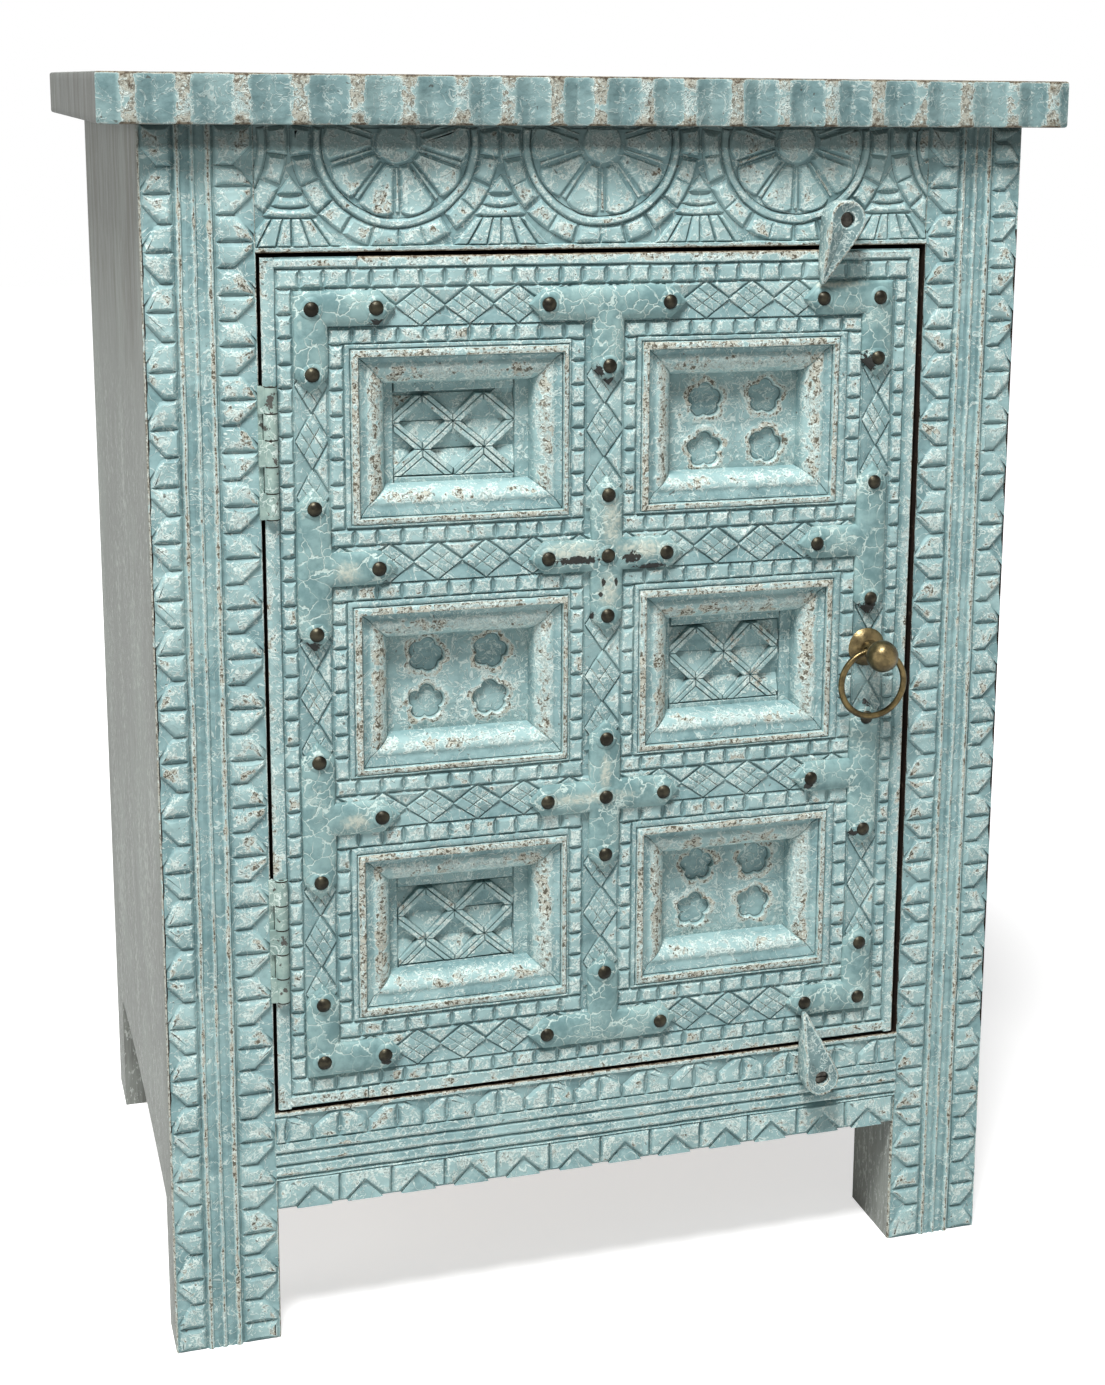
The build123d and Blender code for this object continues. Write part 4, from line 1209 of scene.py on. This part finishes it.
# Chipped and rubbed places on the straps: x, z, half width and half height in millimetres
bare_places = (
    (-15.0, 415.2, 11.0, 2.2), (13.8, 415.6, 4.2, 2.8), (24.5, 410.0, 8.0, 1.6), (-1.3, 403.0, 1.0, 2.0),
    (5.6, 402.6, 0.8, 2.4), (-2.6, 396.4, 0.9, 1.2), (-8.0, 385.0, 2.0, 1.7), (-118.0, 540.6, 4.0, 1.6),
    (144.6, 512.0, 4.2, 6.0), (-4.6, 512.6, 2.4, 3.2), (1.8, 507.4, 3.8, 2.2), (-153.0, 378.4, 3.6, 3.0),
    (-118.5, 152.0, 2.4, 1.8), (148.2, 379.0, 5.4, 3.8), (151.6, 328.5, 4.0, 3.4), (144.5, 252.5, 2.2, 1.8),
    (116.5, 282.0, 2.4, 1.8),
)
# Paler places on the straps: rubbed paint, and painted highlights along the upper rims and arms, in the same
# columns
pale_and_highlight_places = (
    (-135.0, 416.0, 6.0, 5.0), (3.0, 434.0, 5.0, 12.0), (1.5, 399.0, 5.0, 9.0), (124.0, 555.0, 16.0, 1.8),
    (-8.0, 286.5, 24.0, 3.0), (1.0, 300.0, 3.0, 9.0), (20.0, 419.5, 14.0, 4.6), (-133.0, 285.0, 7.0, 4.0),
    (-19.0, 420.0, 15.0, 4.6),
)


def marks(places, raggedness, low, high):
    """Ragged marks on all of the places."""
    joined = None
    for x, z, half_width, half_height in places:
        flat = (1 / (half_width * MM), 0.0, 1 / (half_height * MM))
        centre = (x * MM, front_y, z * MM)
        off = mix.node("ShaderNodeVectorMath", {"operation": "SUBTRACT"}, {0: place, 1: centre})
        off = mix.node("ShaderNodeVectorMath", {"operation": "MULTIPLY"}, {0: off, 1: flat})
        away = mix.node("ShaderNodeVectorMath", {"operation": "LENGTH"}, {0: off}, "Value")
        mark = (away + ragged * raggedness).rise(low, high)
        joined = mark if joined is None else joined.most(mark)
    return joined


bare_marks = marks(bare_places, 3.4, 2.75, 2.6)
pale_and_highlight_marks = marks(pale_and_highlight_places, 1.6, 2.2, 1.2)
blots = grain(mix, place, 75, 4, 0.6).rise(0.66, 0.7)
colour = plain_mix(mix, tone.rise(0.35, 0.65), rgb(98, 128, 129), rgb(128, 157, 156))
colour = colour.blend(patches.rise(0.46, 0.7) * 0.5, rgb(152, 178, 174))
colour = colour.blend(craze * 0.8, rgb(190, 207, 200))
colour = colour.blend(blots * 0.4, rgb(184, 198, 190))
# Painted highlights and paler rubbed paint
colour = colour.blend(pale_and_highlight_marks * (specks.rise(0.4, 0.6) * 0.5 + 0.3), rgb(190, 194, 180))
colour = colour.blend(bare_marks * 0.96, rgb(28, 22, 19))
height = tone * 0.5 + specks * 0.3 - craze * 0.4 - bare_marks * 0.8
surface(mix, colour, 0.42 + specks * 0.2, bump(mix, height, 0.5 * MM), Specular_IOR_Level=0.22)

strap_half, strap_reach = 8.5, 42.0
strap_back, strap_edge = 2.2, -0.2
strap_dome = ((0.4, -0.9), (0.9, -1.6), (1.5, -2.3), (2.0, -2.75), (2.2, -2.95))
strap_xs, strap_zs = (-151.0, 1.06, 149.8), (547.8, 417.07, 286.33, 155.6)
strap_shapes = {}
for column, x in enumerate(strap_xs):
    for row, z in enumerate(strap_zs):
        ways = (column < 2, row > 0, column > 0, row < 3)
        outline = []
        for quarter, there in enumerate(ways):
            run, side = strap_reach, strap_half
            points = [(side, -side)]
            if there:
                points += [(side + (run - 2 * side) * i / 5, -side) for i in range(1, 6)] + [(run, 0)]
                points += [(side + (run - 2 * side) * i / 5, side) for i in range(5, 0, -1)]
            for along, across in points:
                turned = ((along, across), (-across, along), (-along, -across), (across, -along))
                outline.append((x + turned[quarter][0], z + turned[quarter][1]))
        side_piece, end_piece = column != 1, row in (0, 3)
        kind = "straps_cross"
        if side_piece:
            kind = "straps_corner" if end_piece else "straps_tee_side"
        elif end_piece:
            kind = "straps_tee_middle"
        strap_shapes.setdefault(kind, []).append(outline)
for kind, outlines in strap_shapes.items():
    bm = bmesh.new()
    feet = [bm.faces.new([bm.verts.new((x, strap_back, z)) for x, z in outline]) for outline in outlines]
    tops = field_tops(bm, feet, strap_edge)
    level = strap_edge
    for width, depth in strap_dome:
        bmesh.ops.inset_individual(bm, faces=tops, thickness=width, depth=level - depth, use_even_offset=True)
        level = depth
    for vert in bm.verts:
        pull = noise.noise_vector(vert.co / 11) * 0.45
        vert.co += Vector((pull.x, pull.y * 0.3 if vert.co.y > -2.5 else abs(pull.y) * 0.3, pull.z))
    shaped(bm, "shaped_" + kind, strap_paint, "door", [kind], 50)

# Paint gathered round the nails
bm = bmesh.new()
nail_reach, ring_steps = 32, 18
nail_spots = []
for column, x in enumerate(strap_xs):
    for row, z in enumerate(strap_zs):
        ways = ((1, 0, column < 2), (0, 1, row > 0), (-1, 0, column > 0), (0, -1, row < 3))
        spots = [(x + dx * nail_reach, z + dz * nail_reach) for dx, dz, there in ways if there]
        if len(spots) in (2, 4):
            spots.append((x, z))
        nail_spots += spots
for x, z in nail_spots:
    lean = chance.uniform(-0.3, 0.3)
    loops = []
    for radius, depth in ((6.2, -2.2), (5.6, -2.9), (4.9, -3.3), (4.2, -3.45), (3.5, -3.4), (3.3, -3.0)):
        loop = []
        for i in range(ring_steps):
            turn_at = 2 * pi * i / ring_steps
            uneven = 1 + 0.09 * noise.noise(Vector((x + cos(turn_at), radius * 0.2, z + sin(turn_at))))
            reach = radius * uneven
            loop.append(bm.verts.new((x + lean + reach * cos(turn_at), depth, z + reach * sin(turn_at))))
        loops.append(loop)
    skin(bm, loops)
shaped(bm, "nail_seats", strap_paint, "door", (), 60)


# ------------------------------
# Nails, pull and ring. The nail heads are dark bronze and the pull is brass; the metals are painted darker
# underneath, as painted shade.
def aged_metal(name, bright, dull, dark, shine):
    """Metal with a dull skin, worn bright in places and dark in others."""
    finish, mix, place = start_finish(name)
    cloud = grain(mix, place, 160, 4, 0.6)
    fine = grain(mix, place, 900, 3)
    colour = plain_mix(mix, cloud.rise(0.4, 0.62), dull, bright)
    colour = colour.blend(fine.rise(0.54, 0.7) * 0.3, dark)
    colour = colour.blend(cloud.rise(0.42, 0.3) * 0.4, dark)
    # Undersides are painted darker: painted shade and a painted dark reflection
    lie = mix.node("ShaderNodeSeparateXYZ", None, {0: mix.node("ShaderNodeTexCoord", out="Normal")}, 2)
    colour = colour.blend((lie + cloud * 0.3).rise(0.35, -0.45) * 0.6, dark)
    roughness = shine + fine * 0.22 + cloud * 0.15
    surface(mix, colour, roughness, bump(mix, fine + cloud, 0.12 * MM), Metallic=0.9)
    return finish


nail_bronze = aged_metal("nail_bronze", rgb(60, 57, 46), rgb(36, 34, 28), rgb(20, 19, 17), 0.22)
brass = aged_metal("aged_brass", rgb(120, 105, 72), rgb(90, 79, 54), rgb(38, 32, 22), 0.15)
ring_brass = aged_metal("aged_brass_ring", rgb(108, 94, 62), rgb(80, 69, 45), rgb(32, 27, 18), 0.13)
steel = aged_metal("screw_steel", rgb(98, 95, 88), rgb(62, 59, 54), rgb(30, 28, 26), 0.3)


# ------------------------------
# Hinges and turn buttons. Painted over with the front, and chipped down to dark metal or wood.
def chipped_paint(name, tint, pale, under, chips_from):
    """Thick paint with hairline cracks and dark chips."""
    finish, mix, place = start_finish(name)
    tone = grain(mix, place, 110, 5, 0.65)
    cloud = grain(mix, place, 62, 3)
    fine = grain(mix, place, 520, 3)
    cracks = hairlines(grain(mix, place, 170, 3, 0.55, 1.0), 0.03)
    chips = (grain(mix, place, 150, 4, 0.65) + fine * 0.12).rise(chips_from, chips_from + 0.02)
    colour = plain_mix(mix, tone.rise(0.35, 0.65), tint, pale)
    colour = colour.blend(cracks * cloud.rise(0.42, 0.55) * 0.75, cream)
    colour = colour.blend(chips * 0.9, under)
    height = tone * 0.4 + fine * 0.3 - chips * 0.8
    surface(mix, colour, 0.55 + fine * 0.2, bump(mix, height, 0.4 * MM))
    return finish


hinge_paint = chipped_paint("hinge_paint", rgb(118, 142, 136), rgb(146, 167, 158), rgb(50, 42, 37), 0.66)

# Between the knuckles lie dark rings, painted shade in the joints, and paint fills the corner beside them
for which in ("upper", "lower"):
    low, high = node_box("hinge_" + which + "_frame_leaf")
    pin_low, pin_high = node_box("hinge_" + which + "_pin")
    axis_x, axis_y = (pin_low.x + pin_high.x) / 2, (pin_low.y + pin_high.y) / 2
    knuckle_radius = axis_y - low.y
    bm = bmesh.new()
    for i in range(6):
        z = low.z + (high.z - low.z) * i / 5
        loops = []
        for out, along in ((0.02, -0.3), (0.14, -0.2), (0.14, 0.2), (0.02, 0.3)):
            loops.append([bm.verts.new((axis_x + (knuckle_radius + out) * cos(2 * pi * k / 24),
                                        axis_y + (knuckle_radius + out) * sin(2 * pi * k / 24), z + along))
                          for k in range(24)])
        skin(bm, loops)
    shaped(bm, "knuckle_rings_" + which, gap_wood_and_shade, "carcass", (), 60)
    bm = bmesh.new()
    corner_high_x = axis_x - knuckle_radius - 0.75
    filling = ((low.x + 0.1, 0.5), (corner_high_x, 0.9), (corner_high_x, 2.9), (low.x + 0.1, 2.9))
    foot = bm.faces.new([bm.verts.new((x, y, low.z)) for x, y in filling])
    bmesh.ops.translate(bm, verts=raise_faces(bm, [foot])[0], vec=(0, 0, high.z - low.z))
    shaped(bm, "knuckle_paint_" + which, hinge_paint, "carcass", (), 60)

# Thick teardrops with worn rims, round a screw in a deep well
button_paint = worn_paint("worn_turquoise_button", 0.6)
head_radius, tip_radius, well_radius, hole_radius = 10.0, 1.4, 4.1, 2.2
button_back, button_front, button_tip_front, tip_back = -0.4, -14.4, -6.4, -3.8
screws_low, screws_high = node_box("button_screws")
screw_head_radius = 3.6
flank_places = (6.0, 10.0, 16.0, 22.0, 27.0, 30.4)
pivot_x = (screws_low.x + screws_high.x) / 2
for name, pivot_z, reach, heading in (
    ("upper", screws_high.z - screw_head_radius, 35.0, -107.0),
    ("lower", screws_low.z + screw_head_radius, 38.0, 103.0),
):
    tip_centre = reach - tip_radius
    tangent = acos((head_radius - tip_radius) / tip_centre)
    bm, wear_and_shade = new_shape()
    loops = []
    for shrink, height, wear in (
        (0.5, None, 0.4), (0.0, 0.15, 0.5), (0.0, 0.9, 1.0), (0.5, 0.99, 1.7), (1.2, 1.0, 1.5),
        (1.9, 0.97, 0.4),
        (well_radius + 0.8, 0.97, 0.6), (well_radius, 0.93, 1.2), (well_radius, 0.64, -0.6),
        (hole_radius, 0.64, -0.6), (hole_radius, None, 0.0),
    ):
        head, tip = head_radius - min(shrink, 2), max(0.2, tip_radius - min(shrink, 2))
        points = []
        for i in range(25):
            turn_at = tangent + (2 * pi - 2 * tangent) * i / 24
            points.append((head * cos(turn_at), head * sin(turn_at)))
        sides = [(along, (head - along * cos(tangent)) / sin(tangent)) for along in flank_places]
        points += [(along, -half_width) for along, half_width in sides]
        points += [(tip_centre + tip * cos(a), tip * sin(a)) for a in (-1.2, -0.6, 0.0, 0.6, 1.2)]
        points += [(along, half_width) for along, half_width in sides[::-1]]
        if shrink > 2:
            points = [(shrink * cos(atan2(v, u)), shrink * sin(atan2(v, u))) for u, v in points]
        loop = []
        for u, v in points:
            taper = max(0.0, (u - head_radius) / (reach - head_radius))
            front = button_front + (button_tip_front - button_front) * taper
            back = button_back + max(tip_back - button_back, -max(0.0, u - 27.0))
            y = back if height is None else back + (front - back) * height
            turned = Vector((u, v)) @ Matrix.Rotation(radians(-heading), 2)
            dent = 0.2 * noise.noise(Vector((u, v, 5 * (height or 0))) / 5)
            x, z = pivot_x + turned.x, pivot_z + turned.y
            loop.append(add_corner(bm, wear_and_shade, x, y + abs(dent), z, wear))
        loops.append(loop)
    skin(bm, loops)
    shaped(bm, "button_" + name, button_paint, "button_" + name, ["turn_button_" + name], 40)


# ------------------------------
# Sides, back and inside. The sides and legs wear the grey-green brushed paint; the back and the
# inside are bare pine.
raw_wood, mix, place = start_finish("raw_pine")
rings = grain(mix, stretch(mix, place, (14.0, 14.0, 1.2)), 6, 5, 0.6, 0.6)
pores = grain(mix, stretch(mix, place, (60.0, 60.0, 3.0)), 9, 3)
colour = plain_mix(mix, rings.rise(0.35, 0.65), rgb(196, 168, 130), rgb(166, 134, 98))
colour = colour.blend(pores.rise(0.55, 0.7) * 0.4, rgb(132, 104, 76))
surface(mix, colour, 0.7 + pores * 0.1, bump(mix, rings + pores, 0.2 * MM))

dressing = {
    "side_panel": side_paint, "leg_back": side_paint, "corner_post": side_paint, "back_rail": slab_paint,
    "back_panel": raw_wood, "bottom_board": raw_wood, "shelf": raw_wood, "bottom_cleats": raw_wood,
    "strap_nails": nail_bronze, "hinge_upper_frame_leaf": hinge_paint, "hinge_lower_frame_leaf": hinge_paint,
    "hinge_upper_door_leaf": hinge_paint, "hinge_lower_door_leaf": hinge_paint, "hinge_upper_pin": steel,
    "hinge_lower_pin": steel, "hinge_frame_screws": steel, "hinge_door_screws": steel,
    "button_screws": steel, "pull_ring": ring_brass, "pull_rosette": brass, "pull_knob": brass,
}
for node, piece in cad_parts.items():
    for start_of_name, finish in dressing.items():
        if node.startswith(start_of_name):
            for part_slot in piece.material_slots:
                part_slot.material = finish

size = [[list(corner) for corner in box] for box in (cad_box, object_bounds())]
